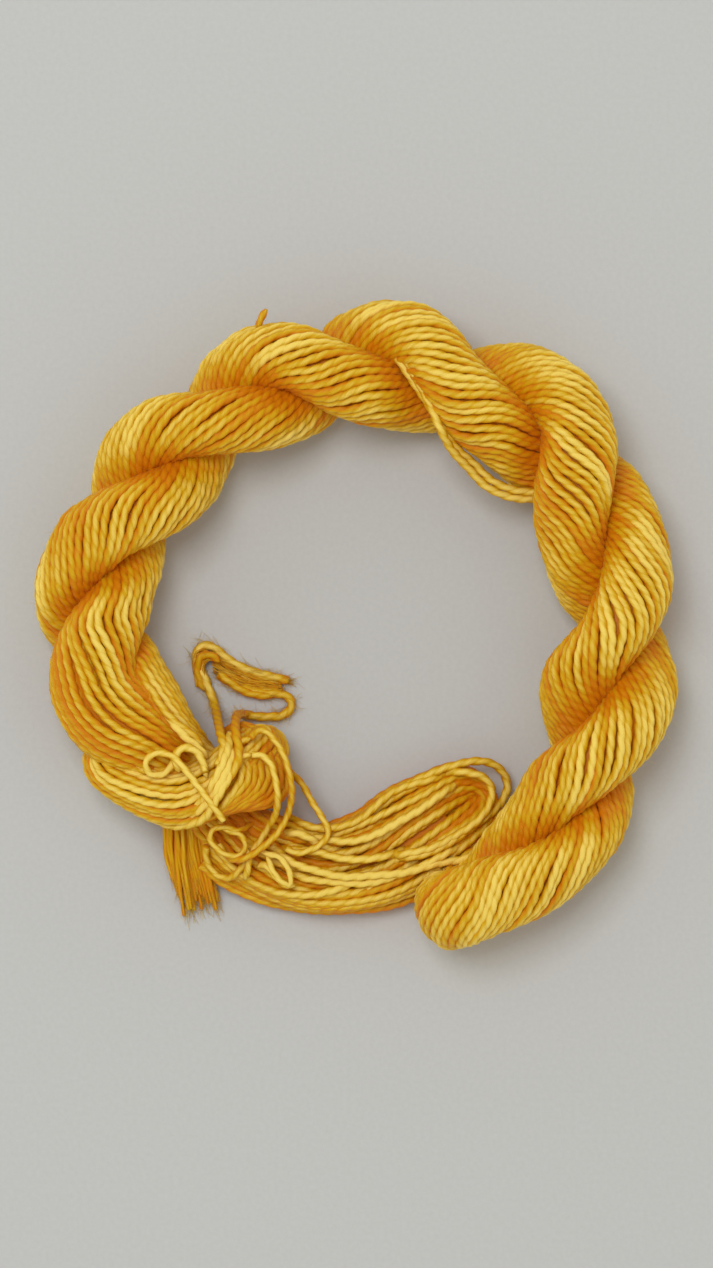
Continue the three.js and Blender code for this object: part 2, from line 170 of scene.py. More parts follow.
# Single strands on top of the loose end loop: how pale each is, and its points
LOOP_TOP_STRANDS = (
    (
        0.3,
        (
            (0.0025, -0.0286, 0.0046), (0.0056, -0.0260, 0.0052), (0.0090, -0.0239, 0.0054),
            (0.0127, -0.0222, 0.0054), (0.0158, -0.0213, 0.0052), (0.0189, -0.0208, 0.0046),
            (0.0214, -0.0213, 0.0038), (0.0231, -0.0229, 0.0030), (0.0236, -0.0249, 0.0026),
            (0.0228, -0.0269, 0.0030), (0.0214, -0.0286, 0.0042), (0.0189, -0.0305, 0.0056),
            (0.0153, -0.0329, 0.0068), (0.0107, -0.0350, 0.0072), (0.0053, -0.0363, 0.0074),
        ),
    ),
    (
        0.7,
        (
            (0.0130, -0.0233, 0.0060), (0.0153, -0.0224, 0.0062), (0.0180, -0.0226, 0.0058),
            (0.0200, -0.0235, 0.0052), (0.0211, -0.0252, 0.0048), (0.0209, -0.0274, 0.0054),
            (0.0195, -0.0294, 0.0062), (0.0170, -0.0314, 0.0068), (0.0136, -0.0332, 0.0072),
            (0.0096, -0.0348, 0.0074), (0.0045, -0.0359, 0.0076),
        ),
    ),
    (
        1.2,
        (
            (-0.0130, -0.0339, 0.0094), (-0.0109, -0.0356, 0.0092), (-0.0084, -0.0371, 0.0088),
            (-0.0048, -0.0381, 0.0082), (-0.0002, -0.0385, 0.0079), (0.0045, -0.0384, 0.0076),
            (0.0091, -0.0376, 0.0073), (0.0133, -0.0365, 0.0069), (0.0170, -0.0357, 0.0064),
            (0.0198, -0.0345, 0.0056), (0.0214, -0.0326, 0.0046),
        ),
    ),
    (
        0.9,
        (
            (-0.0112, -0.0373, 0.0082), (-0.0090, -0.0385, 0.0080), (-0.0048, -0.0393, 0.0074),
            (-0.0002, -0.0396, 0.0071), (0.0037, -0.0393, 0.0069), (0.0076, -0.0381, 0.0069),
            (0.0130, -0.0356, 0.0072), (0.0169, -0.0332, 0.0068),
        ),
    ),
    (
        0.7,
        (
            (-0.0164, -0.0387, 0.0076), (-0.0136, -0.0404, 0.0072), (-0.0102, -0.0413, 0.0074),
            (-0.0064, -0.0415, 0.0072), (-0.0025, -0.0405, 0.0072), (0.0009, -0.0391, 0.0070),
        ),
    ),
    (
        0.2,
        (
            (-0.0109, -0.0295, 0.0070), (-0.0071, -0.0308, 0.0066), (-0.0033, -0.0311, 0.0062),
            (0.0003, -0.0300, 0.0062), (0.0031, -0.0277, 0.0060), (0.0056, -0.0257, 0.0056),
            (0.0084, -0.0244, 0.0056), (0.0118, -0.0235, 0.0056), (0.0149, -0.0226, 0.0054),
        ),
    ),
    (
        1.0,
        (
            (-0.0087, -0.0320, 0.0072), (-0.0048, -0.0329, 0.0068), (-0.0006, -0.0331, 0.0074),
            (0.0034, -0.0320, 0.0076), (0.0071, -0.0298, 0.0074), (0.0107, -0.0277, 0.0072),
            (0.0139, -0.0255, 0.0068), (0.0164, -0.0239, 0.0060),
        ),
    ),
    (
        1.0,
        (
            (-0.0122, -0.0323, 0.0086), (-0.0098, -0.0319, 0.0084), (-0.0074, -0.0326, 0.0076),
            (-0.0053, -0.0339, 0.0071), (-0.0017, -0.0348, 0.0074),
        ),
    ),
    (
        0.5,
        (
            (-0.0126, -0.0342, 0.0082), (-0.0093, -0.0345, 0.0078), (-0.0062, -0.0348, 0.0076),
            (-0.0025, -0.0357, 0.0076), (0.0022, -0.0359, 0.0078), (0.0076, -0.0345, 0.0076),
        ),
    ),
)

# Edges of the two patches of loose fibres at the tie ends: the wedge between them and their turn
TAIL_PATCHES = (
    (
        (
            (-0.0226, -0.0040, 0.0012), (-0.0198, -0.0056, 0.0012), (-0.0172, -0.0070, 0.0011),
            (-0.0118, -0.0086, 0.0009),
        ),
        (
            (-0.0224, -0.0070, 0.0012), (-0.0200, -0.0086, 0.0012), (-0.0172, -0.0098, 0.0011),
            (-0.0112, -0.0102, 0.0009),
        ),
    ),
    (
        (
            (-0.0225, -0.0036, 0.0016), (-0.0244, -0.0034, 0.0014), (-0.0254, -0.0050, 0.0012),
            (-0.0250, -0.0092, 0.0009),
        ),
        (
            (-0.0218, -0.0052, 0.0020), (-0.0230, -0.0050, 0.0020), (-0.0238, -0.0062, 0.0014),
            (-0.0234, -0.0100, 0.0010),
        ),
    ),
)

# Odd strands at the knot: how pale each is, its half thickness and its points
KNOT_STRANDS = (
    (
        0.1,
        0.0006,
        (
            (-0.0162, -0.0170, 0.0144), (-0.0172, -0.0174, 0.0141), (-0.0184, -0.0178, 0.0130),
            (-0.0195, -0.0180, 0.0112),
        ),
    ),
    (
        0.2,
        0.0006,
        (
            (-0.0160, -0.0195, 0.0153), (-0.0172, -0.0197, 0.0151), (-0.0184, -0.0197, 0.0140),
            (-0.0193, -0.0192, 0.0120),
        ),
    ),
    (
        0.6,
        0.0007,
        (
            (-0.0271, -0.0221, 0.0156), (-0.0277, -0.0203, 0.0164), (-0.0272, -0.0189, 0.0169),
            (-0.0257, -0.0184, 0.0170), (-0.0243, -0.0192, 0.0168), (-0.0235, -0.0207, 0.0166),
            (-0.0229, -0.0230, 0.0162),
        ),
    ),
    (
        1.5,
        0.0007,
        (
            (-0.0294, -0.0126, 0.0125), (-0.0285, -0.0142, 0.0138), (-0.0272, -0.0158, 0.0146),
            (-0.0258, -0.0172, 0.0150), (-0.0243, -0.0184, 0.0150), (-0.0229, -0.0200, 0.0146),
        ),
    ),
    (
        0.3,
        0.0007,
        (
            (-0.0318, -0.0089, 0.0128), (-0.0306, -0.0111, 0.0136), (-0.0291, -0.0132, 0.0140),
            (-0.0275, -0.0148, 0.0142), (-0.0254, -0.0163, 0.0142), (-0.0236, -0.0184, 0.0136),
        ),
    ),
    (
        0.4,
        0.0005,
        (
            (-0.0158, -0.0302, 0.0062), (-0.0183, -0.0313, 0.0108), (-0.0205, -0.0308, 0.0116),
            (-0.0220, -0.0311, 0.0116), (-0.0226, -0.0325, 0.0112), (-0.0214, -0.0342, 0.0108),
            (-0.0196, -0.0352, 0.0106), (-0.0177, -0.0350, 0.0104), (-0.0171, -0.0335, 0.0106),
            (-0.0180, -0.0319, 0.0110), (-0.0199, -0.0313, 0.0112), (-0.0214, -0.0298, 0.0110),
        ),
    ),
    (
        1.4,
        0.0005,
        (
            (-0.0156, -0.0335, 0.0086), (-0.0138, -0.0350, 0.0096), (-0.0122, -0.0353, 0.0100),
            (-0.0108, -0.0367, 0.0102), (-0.0101, -0.0387, 0.0098), (-0.0103, -0.0398, 0.0094),
            (-0.0118, -0.0390, 0.0096), (-0.0130, -0.0373, 0.0098), (-0.0138, -0.0353, 0.0096),
        ),
    ),
    (
        0.8,
        0.0006,
        (
            (-0.0153, -0.0371, 0.0084), (-0.0141, -0.0367, 0.0092), (-0.0125, -0.0384, 0.0094),
            (-0.0111, -0.0397, 0.0092), (-0.0095, -0.0400, 0.0086),
        ),
    ),
    (
        0.9,
        0.0006,
        (
            (-0.0168, -0.0341, 0.0098), (-0.0166, -0.0359, 0.0098), (-0.0168, -0.0377, 0.0090),
            (-0.0173, -0.0390, 0.0076),
        ),
    ),
    (
        -1.0,
        0.0007,
        (
            (-0.0213, -0.0054, 0.0020), (-0.0226, -0.0043, 0.0021), (-0.0240, -0.0044, 0.0019),
            (-0.0247, -0.0056, 0.0014), (-0.0247, -0.0074, 0.0010), (-0.0241, -0.0091, 0.0008),
            (-0.0236, -0.0099, 0.0008),
        ),
    ),
    (
        -0.6,
        0.0007,
        (
            (-0.0214, -0.0071, 0.0016), (-0.0196, -0.0086, 0.0015), (-0.0174, -0.0100, 0.0013),
            (-0.0150, -0.0106, 0.0011), (-0.0128, -0.0106, 0.0010),
        ),
    ),
    (
        -0.4,
        0.0006,
        (
            (-0.0153, 0.0461, 0.0115), (-0.0149, 0.0470, 0.0118), (-0.0144, 0.0481, 0.0120),
            (-0.0138, 0.0491, 0.0121),
        ),
    ),
)

# Cut ends below the collar: where each lock starts, bends and ends
TUFT_LOCKS = (
    ((-0.0294, -0.0292, 0.0056), (-0.0291, -0.0356, 0.0030), (-0.0272, -0.0418, 0.0009)),
    ((-0.0286, -0.0294, 0.0058), (-0.0282, -0.0360, 0.0032), (-0.0268, -0.0428, 0.0009)),
    ((-0.0278, -0.0294, 0.0060), (-0.0275, -0.0362, 0.0036), (-0.0264, -0.0424, 0.0018)),
    ((-0.0272, -0.0294, 0.0060), (-0.0268, -0.0364, 0.0034), (-0.0258, -0.0434, 0.0010)),
    ((-0.0266, -0.0292, 0.0060), (-0.0262, -0.0362, 0.0036), (-0.0252, -0.0430, 0.0016)),
    ((-0.0260, -0.0290, 0.0060), (-0.0257, -0.0362, 0.0034), (-0.0245, -0.0426, 0.0009)),
    ((-0.0256, -0.0288, 0.0062), (-0.0250, -0.0360, 0.0036), (-0.0236, -0.0424, 0.0016)),
    ((-0.0252, -0.0288, 0.0060), (-0.0245, -0.0358, 0.0034), (-0.0230, -0.0429, 0.0010)),
    ((-0.0248, -0.0288, 0.0058), (-0.0240, -0.0356, 0.0034), (-0.0224, -0.0428, 0.0012)),
    ((-0.0244, -0.0286, 0.0056), (-0.0235, -0.0352, 0.0030), (-0.0220, -0.0421, 0.0009)),
)

# Ties of the same yarn, from the knot to the cut end or to where they go back in
TIES = {
    "tie_tail_upper": {
        "ends": "bare",
        "dye": 0.2,
        "points": (
            (-0.0212, -0.0213, 0.0171), (-0.0206, -0.0198, 0.0163), (-0.0203, -0.0184, 0.0154),
            (-0.0208, -0.0167, 0.0132), (-0.0214, -0.0146, 0.0078), (-0.0219, -0.0129, 0.0033),
            (-0.0225, -0.0109, 0.0011), (-0.0234, -0.0086, 0.0008), (-0.0243, -0.0065, 0.0008),
            (-0.0249, -0.0048, 0.0008), (-0.0246, -0.0033, 0.0008), (-0.0231, -0.0028, 0.0008),
            (-0.0215, -0.0037, 0.0008), (-0.0198, -0.0051, 0.0008), (-0.0172, -0.0065, 0.0008),
            (-0.0138, -0.0075, 0.0008), (-0.0105, -0.0083, 0.0008),
        ),
    },
    "tie_tail_lower": {
        "ends": "bare",
        "dye": -0.4,
        "points": (
            (-0.0209, -0.0249, 0.0176), (-0.0195, -0.0230, 0.0175), (-0.0183, -0.0210, 0.0168),
            (-0.0180, -0.0190, 0.0156), (-0.0183, -0.0173, 0.0145), (-0.0186, -0.0157, 0.0127),
            (-0.0186, -0.0141, 0.0084), (-0.0182, -0.0135, 0.0038), (-0.0170, -0.0136, 0.0012),
            (-0.0154, -0.0139, 0.0008), (-0.0136, -0.0139, 0.0008), (-0.0118, -0.0138, 0.0008),
            (-0.0105, -0.0130, 0.0008), (-0.0101, -0.0117, 0.0008), (-0.0110, -0.0106, 0.0008),
            (-0.0126, -0.0103, 0.0008), (-0.0144, -0.0102, 0.0008), (-0.0164, -0.0098, 0.0008),
            (-0.0183, -0.0092, 0.0008), (-0.0202, -0.0083, 0.0008), (-0.0215, -0.0073, 0.0008),
        ),
    },
    "tie_loop_outer": {
        "ends": "object",
        "dye": 0.1,
        "points": (
            (-0.0162, -0.0170, 0.0144), (-0.0153, -0.0160, 0.0131), (-0.0141, -0.0159, 0.0128),
            (-0.0127, -0.0172, 0.0130), (-0.0116, -0.0188, 0.0134), (-0.0108, -0.0206, 0.0136),
            (-0.0102, -0.0229, 0.0133), (-0.0099, -0.0252, 0.0122), (-0.0101, -0.0272, 0.0110),
            (-0.0108, -0.0294, 0.0101), (-0.0122, -0.0318, 0.0105), (-0.0146, -0.0340, 0.0110),
            (-0.0169, -0.0355, 0.0113), (-0.0188, -0.0359, 0.0100), (-0.0203, -0.0350, 0.0086),
            (-0.0212, -0.0334, 0.0087),
        ),
    },
    "tie_loop_inner": {
        "ends": "object",
        "dye": 0.4,
        "points": (
            (-0.0160, -0.0195, 0.0153), (-0.0144, -0.0197, 0.0152), (-0.0131, -0.0210, 0.0152),
            (-0.0125, -0.0229, 0.0149), (-0.0121, -0.0252, 0.0149), (-0.0121, -0.0273, 0.0137),
            (-0.0126, -0.0292, 0.0116), (-0.0136, -0.0309, 0.0096), (-0.0146, -0.0326, 0.0091),
            (-0.0160, -0.0345, 0.0091), (-0.0172, -0.0365, 0.0085), (-0.0183, -0.0379, 0.0078),
            (-0.0197, -0.0389, 0.0062), (-0.0215, -0.0385, 0.0052), (-0.0228, -0.0370, 0.0056),
            (-0.0233, -0.0353, 0.0068), (-0.0232, -0.0339, 0.0080),
        ),
    },
    "tie_bight": {
        "ends": "object",
        "dye": -0.1,
        "points": (
            (-0.0212, -0.0162, 0.0046), (-0.0196, -0.0169, 0.0044), (-0.0179, -0.0177, 0.0043),
            (-0.0162, -0.0185, 0.0042), (-0.0144, -0.0196, 0.0042), (-0.0124, -0.0210, 0.0042),
            (-0.0101, -0.0226, 0.0049), (-0.0084, -0.0243, 0.0062), (-0.0068, -0.0271, 0.0069),
            (-0.0052, -0.0296, 0.0072), (-0.0043, -0.0317, 0.0075), (-0.0053, -0.0334, 0.0083),
            (-0.0073, -0.0345, 0.0088), (-0.0093, -0.0349, 0.0090), (-0.0108, -0.0342, 0.0090),
        ),
    },
    "tie_end": {
        "ends": "bare",
        "dye": 0.9,
        "points": (
            (-0.0231, -0.0222, 0.0171), (-0.0235, -0.0204, 0.0159), (-0.0244, -0.0189, 0.0146),
            (-0.0258, -0.0183, 0.0143), (-0.0271, -0.0188, 0.0149), (-0.0278, -0.0201, 0.0151),
            (-0.0286, -0.0216, 0.0152), (-0.0300, -0.0226, 0.0152), (-0.0316, -0.0224, 0.0155),
            (-0.0323, -0.0210, 0.0161), (-0.0313, -0.0195, 0.0163), (-0.0294, -0.0193, 0.0165),
            (-0.0279, -0.0199, 0.0171), (-0.0264, -0.0215, 0.0174), (-0.0245, -0.0239, 0.0176),
            (-0.0226, -0.0264, 0.0178), (-0.0203, -0.0296, 0.0166),
        ),
    },
}

# Strands in layers: the collar and its fan as (layer, strands), the loose loop from its lowest layer up as
# (level, strands, reach to the side, offset)
COLLAR_LAYERS = ((0, 24), (1, 15))
FAN_LAYERS = ((0, 8), (1, 7), (2, 5))
LOOP_LAYERS = (
    (-0.78, 4, 0.95, 0.0),
    (-0.30, 7, 1.0, 0.5),
    (0.22, 7, 0.94, 0.0),
    (0.55, 6, 0.88, 0.5),
    (0.78, 5, 0.76, 0.0),
)

# Yarns in a lock of the tuft and fibres at a yarn's end. Stray fibres on the last two thirds of each tail,
# at its cut end and in each patch at the tie ends, and places on the rope: those lower than 3 mm get none.
YARNS_IN_LOCK = 4
YARN_END_FIBRES = 16
TAIL_FIBRES = 420
TAIL_END_FIBRES = 45
PATCH_FIBRES = 110
ROPE_FIBRES = 420

# Finishes of the yarn, as (shift of the tone, fibres round a strand, roughness). The core's shift down is
# painted shade.
FINISHES = {
    "yarn_tie": (0.02, 14.0, 0.48),
    "yarn_gold": (0.0, 14.0, 0.48),
    "yarn_shadow_core": (-0.25, 14.0, 0.48),
    "yarn_ends": (-0.05, 22.0, 0.8),
}


class YarnSettings(PropertyGroup):
    """The yarn itself."""

    thick: FloatProperty(
        name="Yarn thickness", description="Across both of its plies", default=0.0014, unit="LENGTH"
    )
    pitch: FloatProperty(
        name="Ply pitch", description="Length of one turn of its two plies", default=0.0044, unit="LENGTH"
    )
    step: FloatProperty(
        name="Ring spacing", description="Length of one facet along a strand", default=0.00056, unit="LENGTH"
    )
    sides: IntProperty(name="Sides", description="Facets round a strand", default=10, min=6)
    groove: FloatProperty(
        name="Groove", description="How deep the groove between its plies is", default=0.18, subtype="FACTOR"
    )


class HankSettings(PropertyGroup):
    """How the strands lie in the hank."""

    strands: IntProperty(name="Strands", description="Strands round one ply", default=26, min=8)
    twist: FloatProperty(
        name="Strand twist",
        description="Turning of the strands about their ply, in radians for each metre of it",
        default=222.0,
    )
    wander: FloatProperty(
        name="Wander", description="How far a strand strays in and out", default=0.00028, unit="LENGTH"
    )


class ColourSettings(PropertyGroup):
    """Dye colours, from the deep colour used for painted shade in the twists to the palest silk."""

    # Deep is both the darkest dye and the colour of the painted shade.
    deep: FloatVectorProperty(
        name="Deep", description="Darkest strands", default=(0.70, 0.225, 0.0003), subtype="COLOR", size=3
    )
    gold: FloatVectorProperty(
        name="Gold", description="Most of the yarn", default=(0.72, 0.415, 0.0030), subtype="COLOR", size=3
    )
    pale: FloatVectorProperty(
        name="Pale", description="Least dyed strands", default=(0.98, 0.72, 0.135), subtype="COLOR", size=3
    )
    floor: FloatVectorProperty(
        name="Floor", description="Pale surface below", default=(0.60, 0.605, 0.58), subtype="COLOR", size=3
    )


class StageSettings(PropertyGroup):
    """Camera, floor and lights."""

    distance: FloatProperty(name="Camera distance", description="Above the yarn", default=0.80, unit="LENGTH")
    frame_height: FloatProperty(
        name="Frame height", description="Long side of the picture", default=0.1965, unit="LENGTH"
    )
    key_power: FloatProperty(name="Key light", description="Power of the large soft light", default=6.0)
    sky: FloatProperty(name="Sky", description="Strength of the light from straight above", default=0.29)
    horizon: FloatProperty(name="Horizon", description="Strength of the light from the horizon", default=1.18)


# Lines and frames


def unit(vectors):
    """Each row divided by its length."""
    return vectors / np.maximum(np.linalg.norm(vectors, axis=-1, keepdims=True), 1e-12)


def cubic(t, a, b, slope_a, slope_b):
    """Cubic from a to b as t goes from 0 to 1, with those slopes at its ends."""
    return (
        (2 * t**3 - 3 * t**2 + 1) * a
        + (t**3 - 2 * t**2 + t) * slope_a
        + (3 * t**2 - 2 * t**3) * b
        + (t**3 - t**2) * slope_b
    )


def hermite(x, y, at):
    """Cubic through the points (x, y): at each one it has the slope between its two neighbours."""
    i = np.clip(np.searchsorted(x, at, side="left"), 1, len(x) - 1)
    before, after = np.maximum(i - 2, 0), np.minimum(i + 1, len(x) - 1)
    width = x[i] - x[i - 1]
    slope_a = (y[i] - y[before]) / (x[i] - x[before]) * width
    slope_b = (y[after] - y[i - 1]) / (x[after] - x[i - 1]) * width
    return cubic((at - x[i - 1]) / width, y[i - 1], y[i], slope_a, slope_b)


def arc_length(line):
    """Distance along a line of points, from its first."""
    return np.concatenate([[0.0], np.cumsum(np.linalg.norm(np.diff(line, axis=0), axis=1))])


def read_rows(rows, along, at):
    """Rows read linearly at places along them."""
    return np.stack([np.interp(at, along, column) for column in rows.T], axis=1)


def even(rows, step):
    """A line at even distances of about step. Columns after its x, y and z are carried along."""
    along = arc_length(rows[:, :3])
    count = max(int(np.ceil(along[-1] / step)) + 1, 4)
    return read_rows(rows, along, np.linspace(0.0, along[-1], count))


def spline(points, per_piece=24):
    """Centripetal Catmull-Rom curve: between two points it is the cubic whose end slopes come from their
    neighbours, each weighed by the square root of the distance between them."""
    p = np.asarray(points, float)
    p = np.vstack([2 * p[0] - p[1], p, 2 * p[-1] - p[-2]])
    gap = np.sqrt(np.linalg.norm(np.diff(p, axis=0), axis=1))[:, None]
    step = np.diff(p, axis=0)
    d0, d1, d2 = gap[:-2], gap[1:-1], gap[2:]
    m1 = (step[:-2] / d0 - (p[2:-1] - p[:-3]) / (d0 + d1) + step[1:-1] / d1) * d1
    m2 = (step[1:-1] / d1 - (p[3:] - p[1:-2]) / (d1 + d2) + step[2:] / d2) * d1
    t = (np.arange(per_piece) / per_piece)[None, :, None]
    a, b, m1, m2 = (v[:, None, :] for v in (p[1:-2], p[2:-1], m1, m2))
    return np.vstack([cubic(t, a, b, m1, m2).reshape(-1, 3), p[-2]])


def even_spline(points, step):
    """The same curve with its points at even distances."""
    return even(spline(points), step)


def rest_on_floor(line, clearance):
    """Heights bent up so that none is below clearance: h becomes c + w ln(1 + e^((h - c) / w))."""
    soft = 0.00022
    above = (line[:, 2] - clearance) / soft
    line = line.copy()
    line[:, 2] = clearance + soft * np.logaddexp(0.0, above)
    return line


def ripple(rng, along, wavelength, waves=3):
    """A smooth random value from -1 to 1 along a strand: a sum of sines of about that wavelength."""
    lengths = wavelength * rng.uniform(0.6, 1.7, waves)
    starts = rng.uniform(0, TURN, waves)
    return np.sin(TURN * along[:, None] / lengths + starts).mean(axis=1) * np.sqrt(2.0 / waves) * 1.2


def rope_point(angle):
    """Middle of the rope at angles in degrees round the ring."""
    x, radius = (np.array(c) for c in list(zip(*QUARTER_TURNS))[:2])
    r = hermite(x, radius, np.clip(angle, x[0], x[-1]))
    turn = np.radians(angle)
    return np.stack([r * np.cos(turn), r * np.sin(turn), np.full_like(r, ROPE_HEIGHT)], axis=1)


def ply_frames(angle, side):
    """Frames of a ply at angles in degrees: middle, out of the rope, across, the rope's direction, half
    depth and half width. The pair turns right-handed, a quarter turn q for each row of the table, and
    lies level at the fold: q becomes s ln(1 + e^(q / s))."""
    x, _, half = (np.array(c) for c in zip(*QUARTER_TURNS))
    along = unit(rope_point(angle + 8.0) - rope_point(angle - 8.0))
    outward = np.cross(along, UP)
    soft = 0.12
    quarter = soft * np.logaddexp(0.0, hermite(x, np.arange(len(x), dtype=float), angle) / soft)
    phase = ((np.pi / 2) * (1 - quarter))[:, None]
    out = side * (np.cos(phase) * outward + np.sin(phase) * UP)
    across = side * (-np.sin(phase) * outward + np.cos(phase) * UP)
    pair, wide = hermite(x[1::2], half[1::2], angle), hermite(x[::2], half[::2], angle)
    deep = PLY_SHARE * pair
    middle = rope_point(angle) + (pair - deep)[:, None] * out
    return middle, out, across, along, deep, wide


def bundle_frames(rows, place):
    """Frames of a flattened bundle at places counted in table rows: middle, up out of it, level across it,
    half height and half width."""
    table = np.array(rows)
    per_piece = 60
    curve = spline(table[:, :3], per_piece)
    at = np.arange(len(curve)) / per_piece
    numbers = np.arange(len(table), dtype=float)
    place = np.clip(np.asarray(place, float), 0.0, numbers[-1])
    ahead, behind = np.minimum(place + 0.15, numbers[-1]), np.maximum(place - 0.15, 0.0)
    along = unit(read_rows(curve, at, ahead) - read_rows(curve, at, behind))
    across = unit(np.cross(UP, along))
    out = np.cross(along, across)
    wide = hermite(numbers, table[:, 3], place)
    high = hermite(numbers, table[:, 4], place)
    return read_rows(curve, at, place), out, across, high, wide


def smoothed(values, radius):
    """Rows averaged with a bell of that radius in rows, with the ends held."""
    reach = int(3 * radius)
    bell = np.exp(-0.5 * (np.arange(-reach, reach + 1) / radius) ** 2)
    padded = np.vstack([np.repeat(values[:1], reach, 0), values, np.repeat(values[-1:], reach, 0)])
    return np.stack([np.convolve(column, bell / bell.sum(), "valid") for column in padded.T], axis=1)


def hank_chain(twist, step):
    """The way that a strand of the rope takes, as rows of frames: from the throat of the knot through the
    upper ply to the fold, round it in a half turn, and back through the lower ply into the knot."""
    down = np.arange(UPPER_PLY_END, FOLD_ANGLE, -ANGLE_STEP)
    back = np.arange(FOLD_ANGLE, LOWER_PLY_END, ANGLE_STEP)
    m1, o1, a1, _, d1, w1 = ply_frames(down, 1)
    m3, o3, a3, _, d3, w3 = ply_frames(back, -1)
    tip, out, across, along, deep, wide = ply_frames(np.array([FOLD_ANGLE]), 1)
    hub = rope_point(np.array([FOLD_ANGLE]))
    turn = np.linspace(0, np.pi, 24)[1:-1, None]
    o2 = np.cos(turn) * out - np.sin(turn) * along
    m2 = hub + np.linalg.norm(tip - hub) * o2
    loose, root = np.arange(5.0, 0.75, -0.05), np.arange(0.95, 3.9, 0.05)
    m0, o0, a0, h0, w0 = bundle_frames(LOOSE_LOOP, loose)
    m4, o4, a4, h4, w4 = bundle_frames(KNOT_ROOT, root)
    ones = np.ones(len(turn))
    parts = [
        (m0, o0, a0, h0, w0, np.full(len(m0), 0.10)),
        (m1, o1, a1, d1, w1, np.ones(len(m1))),
        (m2, o2, ones[:, None] * across, ones * deep, ones * wide, ones),
        (m3, o3, -a3, d3, w3, np.ones(len(m3))),
        (m4, a4, o4, w4, h4, np.full(len(m4), 0.25)),
    ]
    rows = np.vstack([np.column_stack([m, o, a, d, w, r]) for m, o, a, d, w, r in parts])
    joints = [len(m0), len(rows) - len(m4)]
    along = arc_length(rows[:, :3])
    near = np.min([np.abs(along - (along[j] + along[j - 1]) / 2) for j in joints], axis=0)
    rows = even(np.column_stack([rows, near]), step)
    soft = smoothed(rows[:, :-1], 0.0030 / step)
    blend = np.clip(1.6 - rows[:, -1:] / 0.006, 0.0, 1.0)
    rows = rows[:, :-1] * (1 - blend) + soft * blend
    out = unit(rows[:, 3:6])
    across = unit(rows[:, 6:9] - (rows[:, 6:9] * out).sum(1, keepdims=True) * out)
    length = arc_length(rows[:, :3])
    turned = np.concatenate([[0.0], np.cumsum(np.diff(length) * twist * rows[1:, 11])])
    return {
        "middle": rows[:, :3],
        "out": out,
        "across": across,
        "deep": rows[:, 9],
        "wide": rows[:, 10],
        "turned": turned,
        "along": length,
    }


def on_oval(middle, out, across, deep, wide, angle):
    """Points on an oval round each middle: middle + deep cos angle out + wide sin angle across."""
    return middle + (deep * np.cos(angle))[:, None] * out + (wide * np.sin(angle))[:, None] * across


def on_chain(chain, turn, inset):
    """Points a little inside the chain's oval, where the angle from its way out falls as strands twist."""
    middle, out, across, deep, wide, turned = (
        chain[key] for key in ("middle", "out", "across", "deep", "wide", "turned")
    )
    return on_oval(middle, out, across, deep - inset, wide - inset, turn - turned)


# Meshes


def tube_frames(line):
    """Two cross directions at each point of a line, and how far they have turned about it, so that a
    section can be kept from turning."""
    tangent = unit(np.gradient(line, axis=0))
    normal = unit(UP - (tangent @ UP)[:, None] * tangent)
    side = np.cross(tangent, normal)
    carried = normal[:-1] - (normal[:-1] * tangent[1:]).sum(1, keepdims=True) * tangent[1:]
    slip = np.arctan2((carried * side[1:]).sum(1), (carried * normal[1:]).sum(1))
    return normal, side, np.concatenate([[0.0], np.cumsum(slip)])


def yarn_section(sides, groove):
    """Radius round a two-ply yarn as a share of its half thickness: 1 - groove |sin|^3."""
    around = TURN * np.arange(sides) / sides
    return around, 1 - groove * np.abs(np.sin(around)) ** 3


def ring_points(middle, out, across, rise, spread):
    """Rings of points, middle + rise out + spread across, and last the middle of each end."""
    rings = middle[:, None] + rise[..., None] * out[:, None] + spread[..., None] * across[:, None]
    return np.vstack([rings.reshape(-1, 3), middle[:1], middle[-1:]])


def ring_faces(rings, sides):
    """Quads between closed rings, a fan over each end, and each quad's ring and place round it."""
    ring, spot = np.meshgrid(np.arange(rings - 1), np.arange(sides), indexing="ij")
    here = np.arange(sides)
    there = (here + 1) % sides
    near, far, after = ring * sides, (ring + 1) * sides, (spot + 1) % sides
    quads = np.stack([near + spot, near + after, far + after, far + spot], -1).reshape(-1, 4)
    first = np.stack([np.full(sides, rings * sides), there, here], -1)
    end = (rings - 1) * sides
    last = np.stack([np.full(sides, rings * sides + 1), end + here, end + there], -1)
    return quads, np.vstack([first, last]), ring, spot


def sweep(line, radius, around, share, pitch=None, start=0.0, away=UP):
    """A closed tube: at each point of the line a ring of radius x share, turned left-handed once in each
    pitch, with a fan over each end. Gives points, quads, triangles, a UV for each face corner, with U round
    the yarn and V the distance along it, and for each point its crest: the cosine between its way out of the
    tube and the direction away, from which the material paints highlight and shade."""
    along = arc_length(line)
    normal, side, slip = tube_frames(line)
    turn = slip + start - (TURN * along / pitch if pitch else 0.0)
    angle = around[None, :] + turn[:, None]
    size = np.broadcast_to(radius, len(line))[:, None] * share[None, :]
    points = ring_points(line, normal, side, size * np.cos(angle), size * np.sin(angle))
    away = np.broadcast_to(away, line.shape)
    crest = np.cos(angle) * (normal * away).sum(1)[:, None] + np.sin(angle) * (side * away).sum(1)[:, None]
    crest = np.concatenate([crest.ravel(), [0.0, 0.0]])
    k = len(around)
    quads, fans, ring, spot = ring_faces(len(line), k)
    u0, u1 = spot / k, (spot + 1) / k
    v0, v1 = along[ring], along[ring + 1]
    quad_uv = np.stack([u0, v0, u1, v0, u1, v1, u0, v1], -1).reshape(-1, 4, 2)
    cap_uv = np.zeros((2 * k, 3, 2))
    cap_uv[:, :, 0] = 0.25
    cap_uv[k:, :, 1] = along[-1]
    return points, quads, fans, quad_uv, cap_uv, crest


